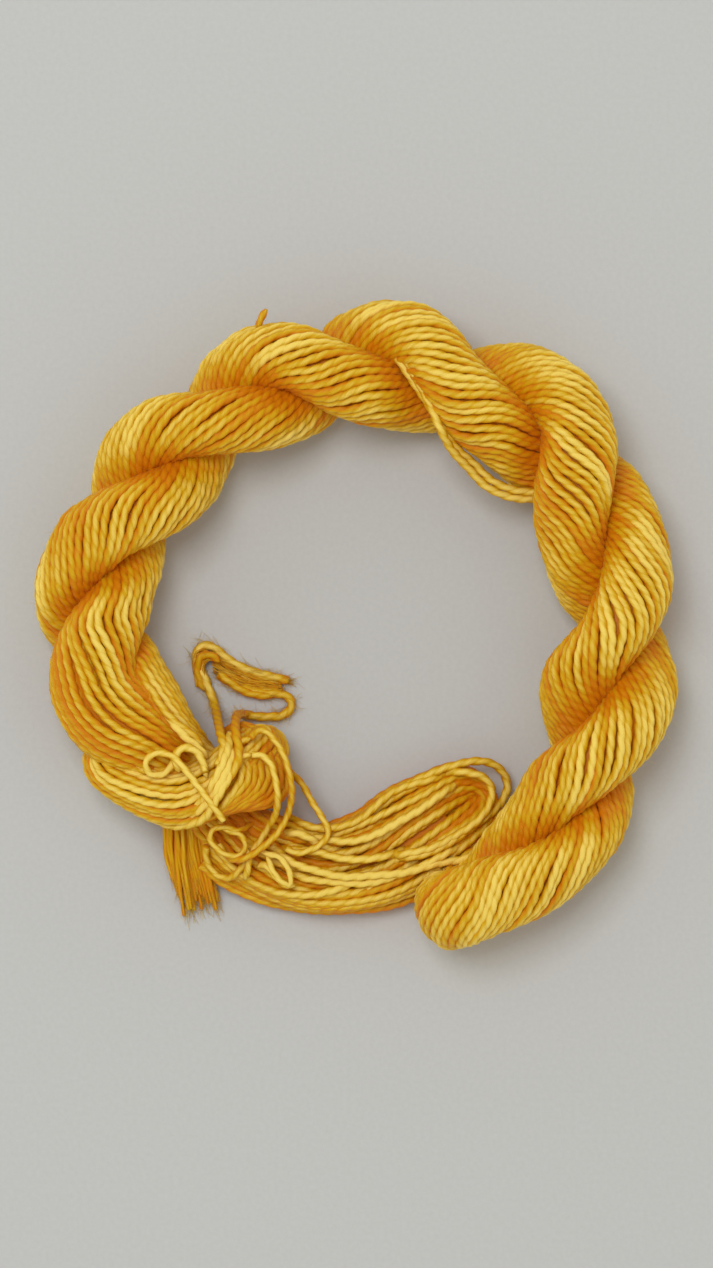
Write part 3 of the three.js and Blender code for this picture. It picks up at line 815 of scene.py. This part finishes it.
def oval_tube(middle, out, across, deep, wide, sides=28):
    """A closed tube of ovals: middle + deep cos out + wide sin across, raised off the floor by a strand."""
    turn = TURN * np.arange(sides) / sides
    points = ring_points(middle, out, across, deep[:, None] * np.cos(turn), wide[:, None] * np.sin(turn))
    points = rest_on_floor(points, 0.0011)
    quads, fans, ring, spot = ring_faces(len(middle), sides)
    quad_uv = np.stack([spot / sides, arc_length(middle)[ring]], -1).reshape(-1, 1, 2) * np.ones((1, 4, 1))
    # Crest -0.5 all round: the whole core takes the painted side shade.
    return points, quads, fans, quad_uv, np.zeros((2 * sides, 3, 2)), np.full(len(points), -0.5)


def wander(rng, line, side, rise, wavelength=0.02):
    """A line that strays smoothly sideways and up and down, by up to about side and rise."""
    along = arc_length(line)
    across = unit(np.cross(UP, np.gradient(line, axis=0)))
    return (
        line
        + (side * ripple(rng, along, wavelength))[:, None] * across
        + (rise * ripple(rng, along, wavelength))[:, None] * UP
    )


def fibre(start, direction, length, curl, rng, radius=0.00003):
    """A fine three-sided fibre: from its start along a direction, bending by curl times the square of the
    distance."""
    t = np.linspace(0.0, 1.0, 5)[:, None]
    bend = np.cross(direction, rng.normal(size=3))
    line = start + t * length * direction + t**2 * length * curl * bend
    line = rest_on_floor(line, 0.00012)
    around = TURN * np.arange(3) / 3
    tube = sweep(line, radius * np.linspace(1.0, 0.5, 5), around, np.ones(3))
    # Crest 0.8 all along: the fibre takes most of the painted crest highlight.
    return (*tube[:5], np.full(len(tube[0]), 0.8))


def between(first, second, share, count=60):
    """A curve a share of the way from one guide to the other, both measured out evenly from end to end."""
    at = np.linspace(0.0, 1.0, count)
    a, b = (read_rows(c, arc_length(c), at * arc_length(c)[-1]) for c in (spline(first), spline(second)))
    return a + share * (b - a)


def point_tones(value, points, fans):
    """One tone, or one for each ring, spread over a tube's points."""
    sides = len(fans) // 2
    values = np.broadcast_to(value, (len(points) - 2) // sides)
    return np.concatenate([np.repeat(values, sides), values[:1], values[-1:]])


def make_piece(name, tubes, tones, finish, node=None):
    """One mesh object from many closed tubes, with each tube's tone (dye with painted shade added) and crest
    (for painted highlight and shade) as point attributes. It rides on the body, and stands for a node where
    one is given."""
    points, quads, fans, quad_uvs, fan_uvs, crest = zip(*tubes)
    tone = [point_tones(*row) for row in zip(tones, points, fans, strict=True)]
    starts = np.cumsum([0, *map(len, points[:-1])])
    quads, fans = (np.vstack([f + s for f, s in zip(faces, starts)]) for faces in (quads, fans))
    points = np.vstack(points)
    loops = np.concatenate([quads.ravel(), fans.ravel()]).astype(np.int32)
    totals = np.concatenate([np.full(len(quads), 4), np.full(len(fans), 3)]).astype(np.int32)
    mesh = bpy.data.meshes.new(name)
    mesh.vertices.add(len(points))
    mesh.vertices.foreach_set("co", points.astype(np.float32).ravel())
    mesh.loops.add(len(loops))
    mesh.loops.foreach_set("vertex_index", loops)
    mesh.polygons.add(len(totals))
    mesh.polygons.foreach_set("loop_start", np.concatenate([[0], np.cumsum(totals)[:-1]]).astype(np.int32))
    mesh.polygons.foreach_set("loop_total", totals)
    mesh.polygons.foreach_set("use_smooth", np.ones(len(totals), bool))
    mesh.update(calc_edges=True)
    uv = np.concatenate([np.vstack(quad_uvs).reshape(-1), np.vstack(fan_uvs).reshape(-1)])
    mesh.uv_layers.new(name="strand").data.foreach_set("uv", uv.astype(np.float32))
    for attribute, values in (("tone", tone), ("crest", crest)):
        data = mesh.attributes.new(attribute, "FLOAT", "POINT").data
        data.foreach_set("value", np.concatenate(values).astype(np.float32))
    mesh.validate()
    mesh.materials.append(yarn_material(finish))
    piece = bpy.data.objects.new(name, mesh)
    bpy.context.scene.collection.objects.link(piece)
    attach(piece, BODY)
    if node:
        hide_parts(node)
    return piece


def yarn_tube(line, rng, radius=None, taper=0.0, away=UP, sides=None):
    """A two-ply strand along a line, with a random start of its plies and, if asked, thinning ends."""
    yarn = bpy.context.scene.hank_yarn
    around, share = yarn_section(sides or yarn.sides, yarn.groove)
    half = (yarn.thick / 2 if radius is None else radius) * np.ones(len(line))
    if taper:
        along = arc_length(line)
        half = half * np.clip(0.35 + np.minimum(along, along[-1] - along) / taper, 0.0, 1.0)
    return sweep(line, half, around, share, yarn.pitch, rng.uniform(0, TURN), away)


def beside(line, path, reach):
    """1 for points above or below a path, falling with the level distance d from it: e^(-(d / reach)^2)."""
    away = np.linalg.norm(line[:, None, :2] - spline(path, 6)[None, :, :2], axis=2).min(axis=1)
    return np.exp(-((away / reach) ** 2))


def strand_tone(rng, line, spread=0.45):
    """Dye of a strand, from -1 (deep) to 1 (pale): one value for the strand and a slow drift along it."""
    along = arc_length(line)
    return rng.normal(0.0, spread) + 0.22 * ripple(rng, along, 0.03) + 0.10 * ripple(rng, along, 0.008)


# Materials


def wire(tree, node, inputs):
    """Sets inputs, by name or number, to a value or links them from a socket. Gives the node."""
    for key, value in inputs.items():
        if isinstance(value, bpy.types.NodeSocket):
            tree.links.new(value, node.inputs[key])
        else:
            node.inputs[key].default_value = value
    return node


def add_node(tree, kind, inputs):
    """A shader node of that kind with its inputs set."""
    return wire(tree, tree.nodes.new("ShaderNode" + kind), inputs)


def point_value(tree, name):
    """A point attribute of the piece."""
    node = tree.nodes.new("ShaderNodeAttribute")
    node.attribute_name = name
    return node.outputs["Fac"]


def math_node(tree, operation, *values):
    """A Math node on sockets or numbers. Gives its output."""
    node = tree.nodes.new("ShaderNodeMath")
    node.operation = operation
    return wire(tree, node, dict(enumerate(values))).outputs[0]


def fibre_group():
    """Fine lengthwise fibres and the groove between two plies, from a strand's own UV map: outputs a height
    for the bump, a streak from 0 to 1, and a groove mask that is 1 at the bottom of the groove, which the
    material also uses for painted shade."""
    known = bpy.data.node_groups.get("Yarn fibres")
    if known:
        return known
    group = bpy.data.node_groups.new("Yarn fibres", "ShaderNodeTree")
    for name, kind in (("UV", "Vector"), ("Fibres round", "Float"), ("Fibre length", "Float")):
        group.interface.new_socket(name, in_out="INPUT", socket_type="NodeSocket" + kind)
    for name in ("Height", "Streak", "Groove"):
        group.interface.new_socket(name, in_out="OUTPUT", socket_type="NodeSocketFloat")
    given, made = group.nodes.new("NodeGroupInput"), group.nodes.new("NodeGroupOutput")
    split = add_node(group, "SeparateXYZ", {0: given.outputs["UV"]})
    u, v = split.outputs[0], split.outputs[1]
    around = math_node(group, "MULTIPLY", u, given.outputs["Fibres round"])
    along = math_node(group, "DIVIDE", v, given.outputs["Fibre length"])
    join = add_node(group, "CombineXYZ", {0: around, 1: along})
    noise = add_node(
        group, "TexNoise", {"Scale": 1.0, "Detail": 3.0, "Roughness": 0.6, "Vector": join.outputs[0]}
    )
    streak = noise.outputs["Fac"]
    sine = math_node(group, "ABSOLUTE", math_node(group, "SINE", math_node(group, "MULTIPLY", u, TURN)))
    groove = math_node(group, "POWER", sine, 6.0)
    height = math_node(group, "SUBTRACT", streak, math_node(group, "MULTIPLY", groove, 0.35))
    wire(group, made, {"Height": height, "Streak": streak, "Groove": groove})
    return group


def yarn_material(name):
    """Dyed wool and silk, made the first time it is asked for: colour from the strand's tone, which carries
    painted shade as well as dye, drifting dye and fibres, painted shade in the groove between the plies and a
    painted highlight on each strand's crest, with a soft sheen."""
    known = bpy.data.materials.get(name)
    if known:
        return known
    shift, fibres, rough = FINISHES[name]
    dye = bpy.context.scene.hank_colours
    material = bpy.data.materials.new(name)
    material.use_nodes = True
    tree = material.node_tree
    uv = tree.nodes.new("ShaderNodeUVMap")
    uv.uv_map = "strand"
    group = tree.nodes.new("ShaderNodeGroup")
    group.node_tree = fibre_group()
    wire(tree, group, {"Fibres round": fibres, "Fibre length": 0.0022, "UV": uv.outputs[0]})
    place = tree.nodes.new("ShaderNodeTexCoord")
    cloud = add_node(tree, "TexNoise", {"Scale": 90.0, "Detail": 2.0, "Vector": place.outputs["Object"]})
    mixed = math_node(tree, "MULTIPLY_ADD", point_value(tree, "tone"), 0.30, 0.5 + shift)
    streaks = math_node(tree, "MULTIPLY", math_node(tree, "SUBTRACT", group.outputs["Streak"], 0.5), 0.55)
    clouds = math_node(tree, "MULTIPLY", math_node(tree, "SUBTRACT", cloud.outputs["Fac"], 0.5), 0.5)
    # Painted shade: colour darkened in the groove between the plies.
    painted_groove_shade = math_node(tree, "MULTIPLY", group.outputs["Groove"], -0.16)
    # Painted highlight and shade: paler where a strand faces up or out of its rope or bundle, darker where it
    # faces in or down.
    top = math_node(tree, "POWER", math_node(tree, "MAXIMUM", point_value(tree, "crest"), 0.0), 2.0)
    painted_crest_light = math_node(tree, "MULTIPLY_ADD", top, 0.62, -0.30)
    total = math_node(tree, "ADD", mixed, streaks)
    total = math_node(tree, "ADD", total, math_node(tree, "ADD", clouds, painted_groove_shade))
    ramp = add_node(tree, "ValToRGB", {0: math_node(tree, "ADD", total, painted_crest_light)})
    stops = ramp.color_ramp.elements
    stops[0].position, stops[0].color = 0.05, (*dye.deep, 1)
    stops[1].position, stops[1].color = 0.95, (*dye.pale, 1)
    stops.new(0.5).color = (*dye.gold, 1)
    bump = add_node(tree, "Bump", {"Strength": 0.55, "Distance": 0.00012, "Height": group.outputs["Height"]})
    values = {
        "Base Color": ramp.outputs[0],
        "Normal": bump.outputs[0],
        "Roughness": rough,
        "Specular IOR Level": 0.18,
        "Sheen Weight": 0.06,
        "Sheen Roughness": 0.4,
        "Sheen Tint": (1.0, 0.86, 0.55, 1.0),
    }
    wire(tree, tree.nodes["Principled BSDF"], values)
    return material


def floor_material():
    """Pale matt board with a faint grain."""
    material = bpy.data.materials.new("pale_board")
    material.use_nodes = True
    tree = material.node_tree
    place = tree.nodes.new("ShaderNodeTexCoord")
    grain = add_node(tree, "TexNoise", {"Scale": 1400.0, "Detail": 4.0, "Vector": place.outputs["Object"]})
    ramp = add_node(tree, "ValToRGB", {0: grain.outputs["Fac"]})
    base = np.array(bpy.context.scene.hank_colours.floor)
    ramp.color_ramp.elements[0].color = (*(base * 0.94), 1)
    ramp.color_ramp.elements[1].color = (*(base * 1.05), 1)
    values = {"Base Color": ramp.outputs[0], "Roughness": 0.85, "Specular IOR Level": 0.2}
    wire(tree, tree.nodes["Principled BSDF"], values)
    return material


# Pieces


class HANK_OT_stage(Operator):
    """Camera straight above, pale floor, a large soft light and an even sky"""

    bl_idname = "yarn_hank.stage"
    bl_label = "Stage"

    def execute(self, context):
        scene, stage = context.scene, context.scene.hank_stage
        camera = bpy.data.objects.new("camera", bpy.data.cameras.new("camera"))
        scene.collection.objects.link(camera)
        yarn_height = 0.008
        camera.location = (0.00008, -0.0010, yarn_height + stage.distance)
        camera.data.sensor_width = 36.0
        camera.data.lens = 36.0 * stage.distance / stage.frame_height
        camera.data.clip_start, camera.data.clip_end = 0.01, 10.0
        scene.camera = camera
        size = 4.0
        corners = [(-size, -size, 0), (size, -size, 0), (size, size, 0), (-size, size, 0)]
        mesh = bpy.data.meshes.new("floor")
        mesh.from_pydata(corners, [], [(0, 1, 2, 3)])
        mesh.materials.append(floor_material())
        floor = bpy.data.objects.new("floor", mesh)
        scene.collection.objects.link(floor)
        for name, place, width, power in (
            ("key", (-0.26, 0.30, 1.15), 0.55, stage.key_power),
            ("fill", (0.70, -0.50, 1.00), 1.2, 0.15 * stage.key_power),
        ):
            light = bpy.data.objects.new(name, bpy.data.lights.new(name, "AREA"))
            light.data.size = width
            light.data.energy = power
            light.data.color = (0.96, 1.0, 1.08)
            light.location = place
            aim = -np.array(place)
            light.rotation_mode = "QUATERNION"
            light.rotation_quaternion = Vector(aim).to_track_quat("-Z", "Y")
            scene.collection.objects.link(light)
        world = bpy.data.worlds.new("sky")
        world.use_nodes = True
        tree = world.node_tree
        place = tree.nodes.new("ShaderNodeTexCoord")
        split = add_node(tree, "SeparateXYZ", {0: place.outputs["Generated"]})
        height = math_node(tree, "POWER", math_node(tree, "MAXIMUM", split.outputs[2], 0.0), 0.7)
        light = math_node(tree, "MULTIPLY_ADD", height, stage.sky - stage.horizon, stage.horizon)
        wire(tree, tree.nodes["Background"], {"Color": (1.0, 0.96, 0.89, 1.0), "Strength": light})
        scene.world = world
        scene.view_settings.view_transform = "Standard"
        return {"FINISHED"}


class HANK_OT_ties(Operator):
    """Six tie strands that go round the knot, each a cord of its own"""

    bl_idname = "yarn_hank.ties"
    bl_label = "Ties"

    def execute(self, context):
        yarn = context.scene.hank_yarn
        rng = np.random.default_rng(SEED)
        for name, tie in TIES.items():
            line = even_spline(tie["points"], yarn.step * 0.8)
            tail = name.startswith("tie_tail")
            half = yarn.thick * (0.54 if tail else 0.41)
            tone = strand_tone(rng, line, 0.2) + tie["dye"]
            if tail:
                tone = tone - 1.6 * np.exp(-(arc_length(line)[::-1] / 0.0016) ** 2)
            tube = yarn_tube(line, rng, radius=half)
            piece = make_piece(name + "_yarn", [tube], [tone], "yarn_tie", name)
        return {"FINISHED"}


class HANK_OT_rope(Operator):
    """Strands of the twisted rope, round the fold and into the knot, over a dark core of painted shade"""

    bl_idname = "yarn_hank.rope"
    bl_label = "Rope"

    def execute(self, context):
        yarn, hank = context.scene.hank_yarn, context.scene.hank_lay
        rng = np.random.default_rng(SEED + 1)
        chain = hank_chain(hank.twist, yarn.step)
        tubes, tones, under = [], [], []
        for k in range(hank.strands):
            along = chain["along"]
            turn = TURN * k / hank.strands + 0.07 * ripple(rng, along, 0.03)
            inset = yarn.thick / 2 + hank.wander * (ripple(rng, along, 0.018) + 0.25)
            line = on_chain(chain, turn, inset)
            both = np.hstack([line, unit(line - chain["middle"]), chain["out"]])
            both = even(both, yarn.step)
            line, away = rest_on_floor(both[:, :3], yarn.thick * 0.55), unit(both[:, 3:6])
            tubes.append(yarn_tube(line, rng, radius=yarn.thick * rng.uniform(0.48, 0.55), away=away))
            # Painted shade: strands darkened where they turn in towards the other ply, and in the throat
            # above the knot.
            crease = np.clip(0.10 - (away * both[:, 6:]).sum(1), 0.0, 0.7) / 0.7
            shade = 1.5 * crease
            tones.append(strand_tone(rng, line, 0.5) + 0.10 - shade - 1.3 * beside(line, THROAT, 0.0022))
        reach = 0.048
        for near in (chain["along"] < reach, chain["along"] > chain["along"][-1] - reach):
            part = {key: value[near] for key, value in chain.items()}
            for k in range(hank.strands - 6):
                turn = TURN * (k + 0.5) / (hank.strands - 6) + 0.07 * ripple(rng, part["along"], 0.03)
                line = on_chain(part, turn, yarn.thick * 1.25)
                line = rest_on_floor(even(line, yarn.step), yarn.thick * 0.5)
                under.append(yarn_tube(line, rng, sides=7))
        # Painted shade: the strands under the outer ones near the knot are given a deep tone.
        make_piece("rope_inner_strands", under, rng.normal(-0.9, 0.3, (len(under), 1)), "yarn_gold", "hank")
        per_piece = 7
        for first in range(0, hank.strands, per_piece):
            chosen = slice(first, first + per_piece)
            name = f"rope_strands_{first // per_piece + 1}"
            make_piece(name, tubes[chosen], tones[chosen], "yarn_gold", "hank")
        # Painted shade: dark cores inside the rope, the collar and the loose loop, showing through the gaps
        # between strands where shaded yarn would be.
        frames = ("middle", "out", "across", "deep", "wide")
        middle, out, across, deep, wide = (chain[key][::3] for key in frames)
        tubes = [oval_tube(middle, out, across, deep - yarn.thick * 0.95, wide - yarn.thick * 0.95)]
        place = np.linspace(0.3, len(COLLAR) - 1.6, 60)
        middle, out, across, high, wide = bundle_frames(COLLAR, place)
        tubes.append(oval_tube(middle, out, across, high - yarn.thick * 1.3, wide - yarn.thick * 1.3))
        place = np.linspace(3.2, len(LOOSE_LOOP) - 3.5, 90)
        middle, out, across, high, wide = bundle_frames(LOOSE_LOOP, place)
        tubes.append(oval_tube(middle, out, across, high - yarn.thick * 1.6, wide - yarn.thick * 2.0))
        make_piece("hank_shadow_core", tubes, [-1.0, -1.0, -0.9], "yarn_shadow_core", "hank")
        return {"FINISHED"}


class HANK_OT_collar(Operator):
    """Strands of the end loop that goes round the throat of the hank"""

    bl_idname = "yarn_hank.collar"
    bl_label = "Collar"

    def execute(self, context):
        yarn = context.scene.hank_yarn
        rng = np.random.default_rng(SEED + 2)
        place = np.linspace(0.0, len(COLLAR) - 1.0, 160)
        middle, out, across, high, wide = bundle_frames(COLLAR, place)
        along = arc_length(middle)
        tubes, tones = [], []
        for layer, count in COLLAR_LAYERS:
            for k in range(count):
                turn = TURN * (k + 0.5 * layer) / count + 0.10 * ripple(rng, along, 0.03) + 34.0 * along
                inset = yarn.thick * (0.5 + 0.95 * layer) + 0.0004 * (ripple(rng, along, 0.02) + 0.2)
                line = on_oval(middle, out, across, high - inset, wide - inset, turn)
                both = even(np.hstack([line, unit(line - middle)]), yarn.step)
                line, away = rest_on_floor(both[:, :3], yarn.thick * 0.5), unit(both[:, 3:])
                tubes.append(yarn_tube(line, rng, radius=yarn.thick * 0.49, away=away))
                # Painted shade: darker towards the collar's end where it goes in under, below the fan, and on
                # the inner layer that lies under the outer one.
                shade = np.clip((arc_length(line) / arc_length(line)[-1] - 0.62) / 0.2, 0.0, 1.0)
                shade = shade + 1.2 * beside(line, CAVE, 0.0022)
                tones.append(strand_tone(rng, line) + 0.45 - 0.8 * layer - 1.1 * shade)
        for layer, count in FAN_LAYERS:
            for k in range(count):
                share = (k + 0.5 * (layer % 2)) / (count - 0.5)
                line = between(FAN_OUTER, FAN_INNER, share)
                line[:, 2] += 0.0008 * np.sin(np.pi * share) - 0.0012 * layer
                line = wander(rng, line, 0.00035, 0.0003, 0.012)
                line = even(line, yarn.step)
                tubes.append(yarn_tube(line, rng, radius=yarn.thick * 0.5))
                tones.append(strand_tone(rng, line) - 1.1 + 0.6 * share)
        for share in (0.0, 0.5, 1.0):
            line = between(NECK_LOW, [np.add(p, (-0.0008, 0.0022, -0.0002)) for p in NECK_LOW], share)
            line = wander(rng, line, 0.0002, 0.0002, 0.012)
            line = even(line, yarn.step)
            tubes.append(yarn_tube(line, rng))
            tones.append(strand_tone(rng, line) + 0.9)
        make_piece("collar_strands", tubes, tones, "yarn_gold", "hank")
        return {"FINISHED"}


class HANK_OT_loose_loop(Operator):
    """Untwisted end loop: hairpins of yarn lying in layers, nested at their round ends"""

    bl_idname = "yarn_hank.loose_loop"
    bl_label = "Loose end loop"

    def execute(self, context):
        yarn = context.scene.hank_yarn
        rng = np.random.default_rng(SEED + 3)
        tubes, tones = [], []
        for level, count, reach, offset in LOOP_LAYERS:
            for k in range(count):
                share = reach * (k + 0.5 + 0.5 * offset) / (count - 0.5 + 0.5 * offset)
                both = self.hairpin(rng, share, level)
                both = even(both, yarn.step)
                line = rest_on_floor(both[:, :3], yarn.thick * 0.54)
                tubes.append(yarn_tube(line, rng, radius=yarn.thick * rng.uniform(0.46, 0.54)))
                # Painted shade: darker where the hairpins' round ends dip under the others, below the fan,
                # and on the lower layers.
                shade = 1.3 * both[:, 3] + 1.5 * beside(line, CAVE, 0.0030)
                tones.append(strand_tone(rng, line, 0.55) - 0.6 + 0.4 * level - shade)
        for share in np.linspace(0.0, 1.0, 6):
            line = wander(rng, between(LOOP_LOW, LOOP_LOW_INNER, share), 0.0004, 0.0003)
            line = rest_on_floor(even(line, yarn.step), yarn.thick * 0.5)
            tubes.append(yarn_tube(line, rng))
            tones.append(strand_tone(rng, line, 0.4) - 0.5)
        for dye, points in LOOP_TOP_STRANDS:
            line = wander(rng, even_spline(points, yarn.step), 0.0002, 0.0002, 0.012)
            along = arc_length(line)
            line[:, 2] -= 0.0026 * np.exp(-((np.minimum(along, along[-1] - along) / 0.0022) ** 2))
            tubes.append(yarn_tube(line, rng))
            tones.append(strand_tone(rng, line, 0.1) + dye)
        make_piece("loose_loop_strands", tubes, tones, "yarn_gold", "hank")
        return {"FINISHED"}

    def hairpin(self, rng, share, level):
        """Out along one side of the bundle, round half an ellipse at its end, which dips under the others,
        and back along the other. The last column is how far round the end a point is, from 0 to 1."""
        start, bend, end = 4.1, 9.4, 10.9
        half = 0.0007
        straight = np.linspace(start, bend, 60)
        turn = np.linspace(0, np.pi, 60)[1:-1]
        reach = (0.70 + 0.30 * share) * rng.uniform(0.86, 0.96)
        place = np.concatenate([straight, bend + (end - bend) * reach * np.sin(turn), straight[::-1]])
        side = np.concatenate([np.ones(60), np.cos(turn), -np.ones(60)])
        middle, out, across, high, wide = bundle_frames(LOOSE_LOOP, place)
        at_bend = bundle_frames(LOOSE_LOOP, [bend])[4][0]
        wide = np.where(place > bend, at_bend, wide) - half
        along = arc_length(middle)
        flip = rng.choice([-1.0, 1.0])
        drift = 0.0009 * ripple(rng, along, 0.035)
        lift = 0.16 * ripple(rng, along, 0.03)
        tip = np.concatenate([np.zeros(60), np.sin(turn), np.zeros(60)])
        dip = (0.9 - 0.6 * share) * (1.0 + level) * tip
        line = (
            middle
            + (side * share * wide + drift)[:, None] * across * flip
            + ((level + lift - dip) * (high - half))[:, None] * out
        )
        return np.column_stack([line, tip])


class HANK_OT_slack(Operator):
    """Slack pair of strands that bows off the inner side of the ring"""

    bl_idname = "yarn_hank.slack"
    bl_label = "Slack strands"

    def execute(self, context):
        yarn = context.scene.hank_yarn
        rng = np.random.default_rng(SEED + 4)
        middle = even_spline(SLACK_STRAND, yarn.step)
        along = arc_length(middle)
        across = unit(np.cross(UP, np.gradient(middle, axis=0)))
        tubes, tones = [], []
        for side in (-1.0, 1.0):
            turn = np.radians(25.0) + 95.0 * along
            spread, rise = side * yarn.thick * 0.45, side * yarn.thick * 0.36
            line = on_oval(middle, across, UP, spread, rise, turn)
            tubes.append(yarn_tube(line, rng))
            tones.append(strand_tone(rng, line, 0.1) + 0.6)
        make_piece("slack_strands", tubes, tones, "yarn_gold", "hank")
        return {"FINISHED"}


class HANK_OT_knot(Operator):
    """Odd strands and small loops at the knot, and the short end at the top of the ring"""

    bl_idname = "yarn_hank.knot"
    bl_label = "Knot strands"

    def execute(self, context):
        yarn = context.scene.hank_yarn
        rng = np.random.default_rng(SEED + 5)
        tubes, tones = [], []
        for dye, half, points in KNOT_STRANDS:
            line = even_spline(points, yarn.step)
            tubes.append(yarn_tube(line, rng, radius=half, taper=0.0012))
            tones.append(strand_tone(rng, line, 0.1) + dye)
        make_piece("knot_strands", tubes, tones, "yarn_gold", "hank")
        return {"FINISHED"}


class HANK_OT_tuft(Operator):
    """Frayed cut ends below the collar: locks that split into fibres"""

    bl_idname = "yarn_hank.tuft"
    bl_label = "Tuft"

    def execute(self, context):
        yarn = context.scene.hank_yarn
        rng = np.random.default_rng(SEED + 6)
        tubes, tones = [], []
        for root, bend, tip in TUFT_LOCKS:
            for _ in range(YARNS_IN_LOCK):
                shift = rng.normal(0, 0.00034, 3)
                tip_shift = shift * (1.6, 2.4, 0.3)
                points = [np.add(root, shift), np.add(bend, shift * 1.5), np.add(tip, tip_shift)]
                line = rest_on_floor(even_spline(points, yarn.step), 0.0006)
                along = arc_length(line)
                half = 0.00040 * (1 - 0.35 * (along / along[-1]) ** 3)
                around, share = yarn_section(yarn.sides, yarn.groove)
                tubes.append(sweep(line, half, around, share, yarn.pitch * 2.5, rng.uniform(0, TURN)))
                tones.append(strand_tone(rng, line, 0.3) - 0.7)
                ahead = unit(line[-1] - line[-6])
                for _ in range(YARN_END_FIBRES):
                    start = line[-rng.integers(2, 13)] + rng.normal(0, 0.00025, 3)
                    way = unit(ahead + rng.normal(0, 0.14, 3) * (1, 1, 0.4))
                    tubes.append(fibre(start, way, rng.uniform(0.0014, 0.0034), 0.12, rng, 0.00004))
                    tones.append(np.array([rng.normal(0.5, 0.3)]))
        make_piece("tuft_strands", tubes, tones, "yarn_ends", "tuft")
        return {"FINISHED"}


class HANK_OT_fuzz(Operator):
    """Fine stray fibres that stand off the yarn, thickest at the tie ends"""

    bl_idname = "yarn_hank.fuzz"
    bl_label = "Stray fibres"

    def execute(self, context):
        rng = np.random.default_rng(SEED + 7)
        tubes, tones = [], []
        for name in ("tie_tail_upper", "tie_tail_lower"):
            line = even_spline(TIES[name]["points"], 0.0004)
            last = line[len(line) // 3 :]
            for _ in range(TAIL_FIBRES):
                k = rng.integers(1, len(last) - 1)
                ahead = unit(last[k + 1] - last[k - 1])
                way = unit(ahead * rng.choice([-1.0, 1.0]) + rng.normal(0, 0.3, 3) * (1, 1, 0.3))
                start = last[k] + rng.normal(0, 0.0004, 3)
                tubes.append(fibre(start, way, rng.uniform(0.0012, 0.0028), 0.3, rng, 0.00003))
                tones.append(np.array([rng.normal(0.9, 0.3)]))
            ahead = unit(line[-1] - line[-8])
            for _ in range(TAIL_END_FIBRES):
                start = line[-rng.integers(1, 7)] + rng.normal(0, 0.00026, 3)
                way = unit(ahead + rng.normal(0, 0.3, 3) * (1, 1, 0.35))
                tubes.append(fibre(start, way, rng.uniform(0.0008, 0.0018), 0.2, rng, 0.00004))
                tones.append(np.array([rng.normal(-0.1, 0.3)]))
        for outer, inner in TAIL_PATCHES:
            for _ in range(PATCH_FIBRES):
                line = wander(rng, between(outer, inner, rng.uniform(0.0, 1.0), 24), 0.0002, 0.0003, 0.006)
                first = rng.integers(0, 13)
                line = rest_on_floor(line[first : first + rng.integers(8, 24)], 0.0002)
                around = TURN * np.arange(4) / 4
                tubes.append(sweep(line, 0.00011, around, np.ones(4)))
                tones.append(np.array([rng.normal(-0.2, 0.6)]))
        angle = rng.uniform(-60, 185, ROPE_FIBRES)
        middle, out, across, along, deep, wide = ply_frames(angle, rng.choice([-1.0, 1.0]))
        turn = rng.uniform(0, TURN, len(angle))
        start = on_oval(middle, out, across, deep, wide, turn)
        away = unit(start - middle)
        for place, up, ahead in zip(start, away, along, strict=True):
            way = unit(up * 0.35 + ahead * rng.normal(0, 0.8) + rng.normal(0, 0.35, 3))
            if place[2] > 0.003:
                tubes.append(fibre(place - 0.0002 * up, way, rng.uniform(0.001, 0.0026), 0.4, rng, 0.000018))
                tones.append(np.array([rng.normal(1.0, 0.3)]))
        make_piece("stray_fibres", tubes, tones, "yarn_ends")
        return {"FINISHED"}


class HANK_PT_sidebar(Panel):
    """Lists the pieces of the hank."""

    bl_idname = "HANK_PT_sidebar"
    bl_label = "Yarn Hank"
    bl_space_type = "VIEW_3D"
    bl_region_type = "UI"
    bl_category = "Yarn Hank"

    def draw(self, context):
        for settings in ("hank_yarn", "hank_lay", "hank_colours", "hank_stage"):
            box = self.layout.box()
            group = getattr(context.scene, settings)
            for name in group.__annotations__:
                box.prop(group, name)
        for operator in OPERATORS:
            self.layout.operator(operator.bl_idname)


SETTINGS = {
    "hank_yarn": YarnSettings,
    "hank_lay": HankSettings,
    "hank_colours": ColourSettings,
    "hank_stage": StageSettings,
}
OPERATORS = (
    HANK_OT_stage,
    HANK_OT_ties,
    HANK_OT_rope,
    HANK_OT_collar,
    HANK_OT_loose_loop,
    HANK_OT_slack,
    HANK_OT_knot,
    HANK_OT_tuft,
    HANK_OT_fuzz,
)


def register():
    """Adds the settings, the operators and the panel."""
    for cls in (*SETTINGS.values(), *OPERATORS, HANK_PT_sidebar):
        bpy.utils.register_class(cls)
    for name, cls in SETTINGS.items():
        setattr(bpy.types.Scene, name, PointerProperty(type=cls))


def unregister():
    """Takes them out again, in the opposite order."""
    for name in SETTINGS:
        delattr(bpy.types.Scene, name)
    for cls in reversed((*SETTINGS.values(), *OPERATORS, HANK_PT_sidebar)):
        bpy.utils.unregister_class(cls)


def main():
    """Makes every piece in order."""
    register()
    for operator in OPERATORS:
        group, name = operator.bl_idname.split(".")
        getattr(getattr(bpy.ops, group), name)()


if __name__ == "__main__":
    main()
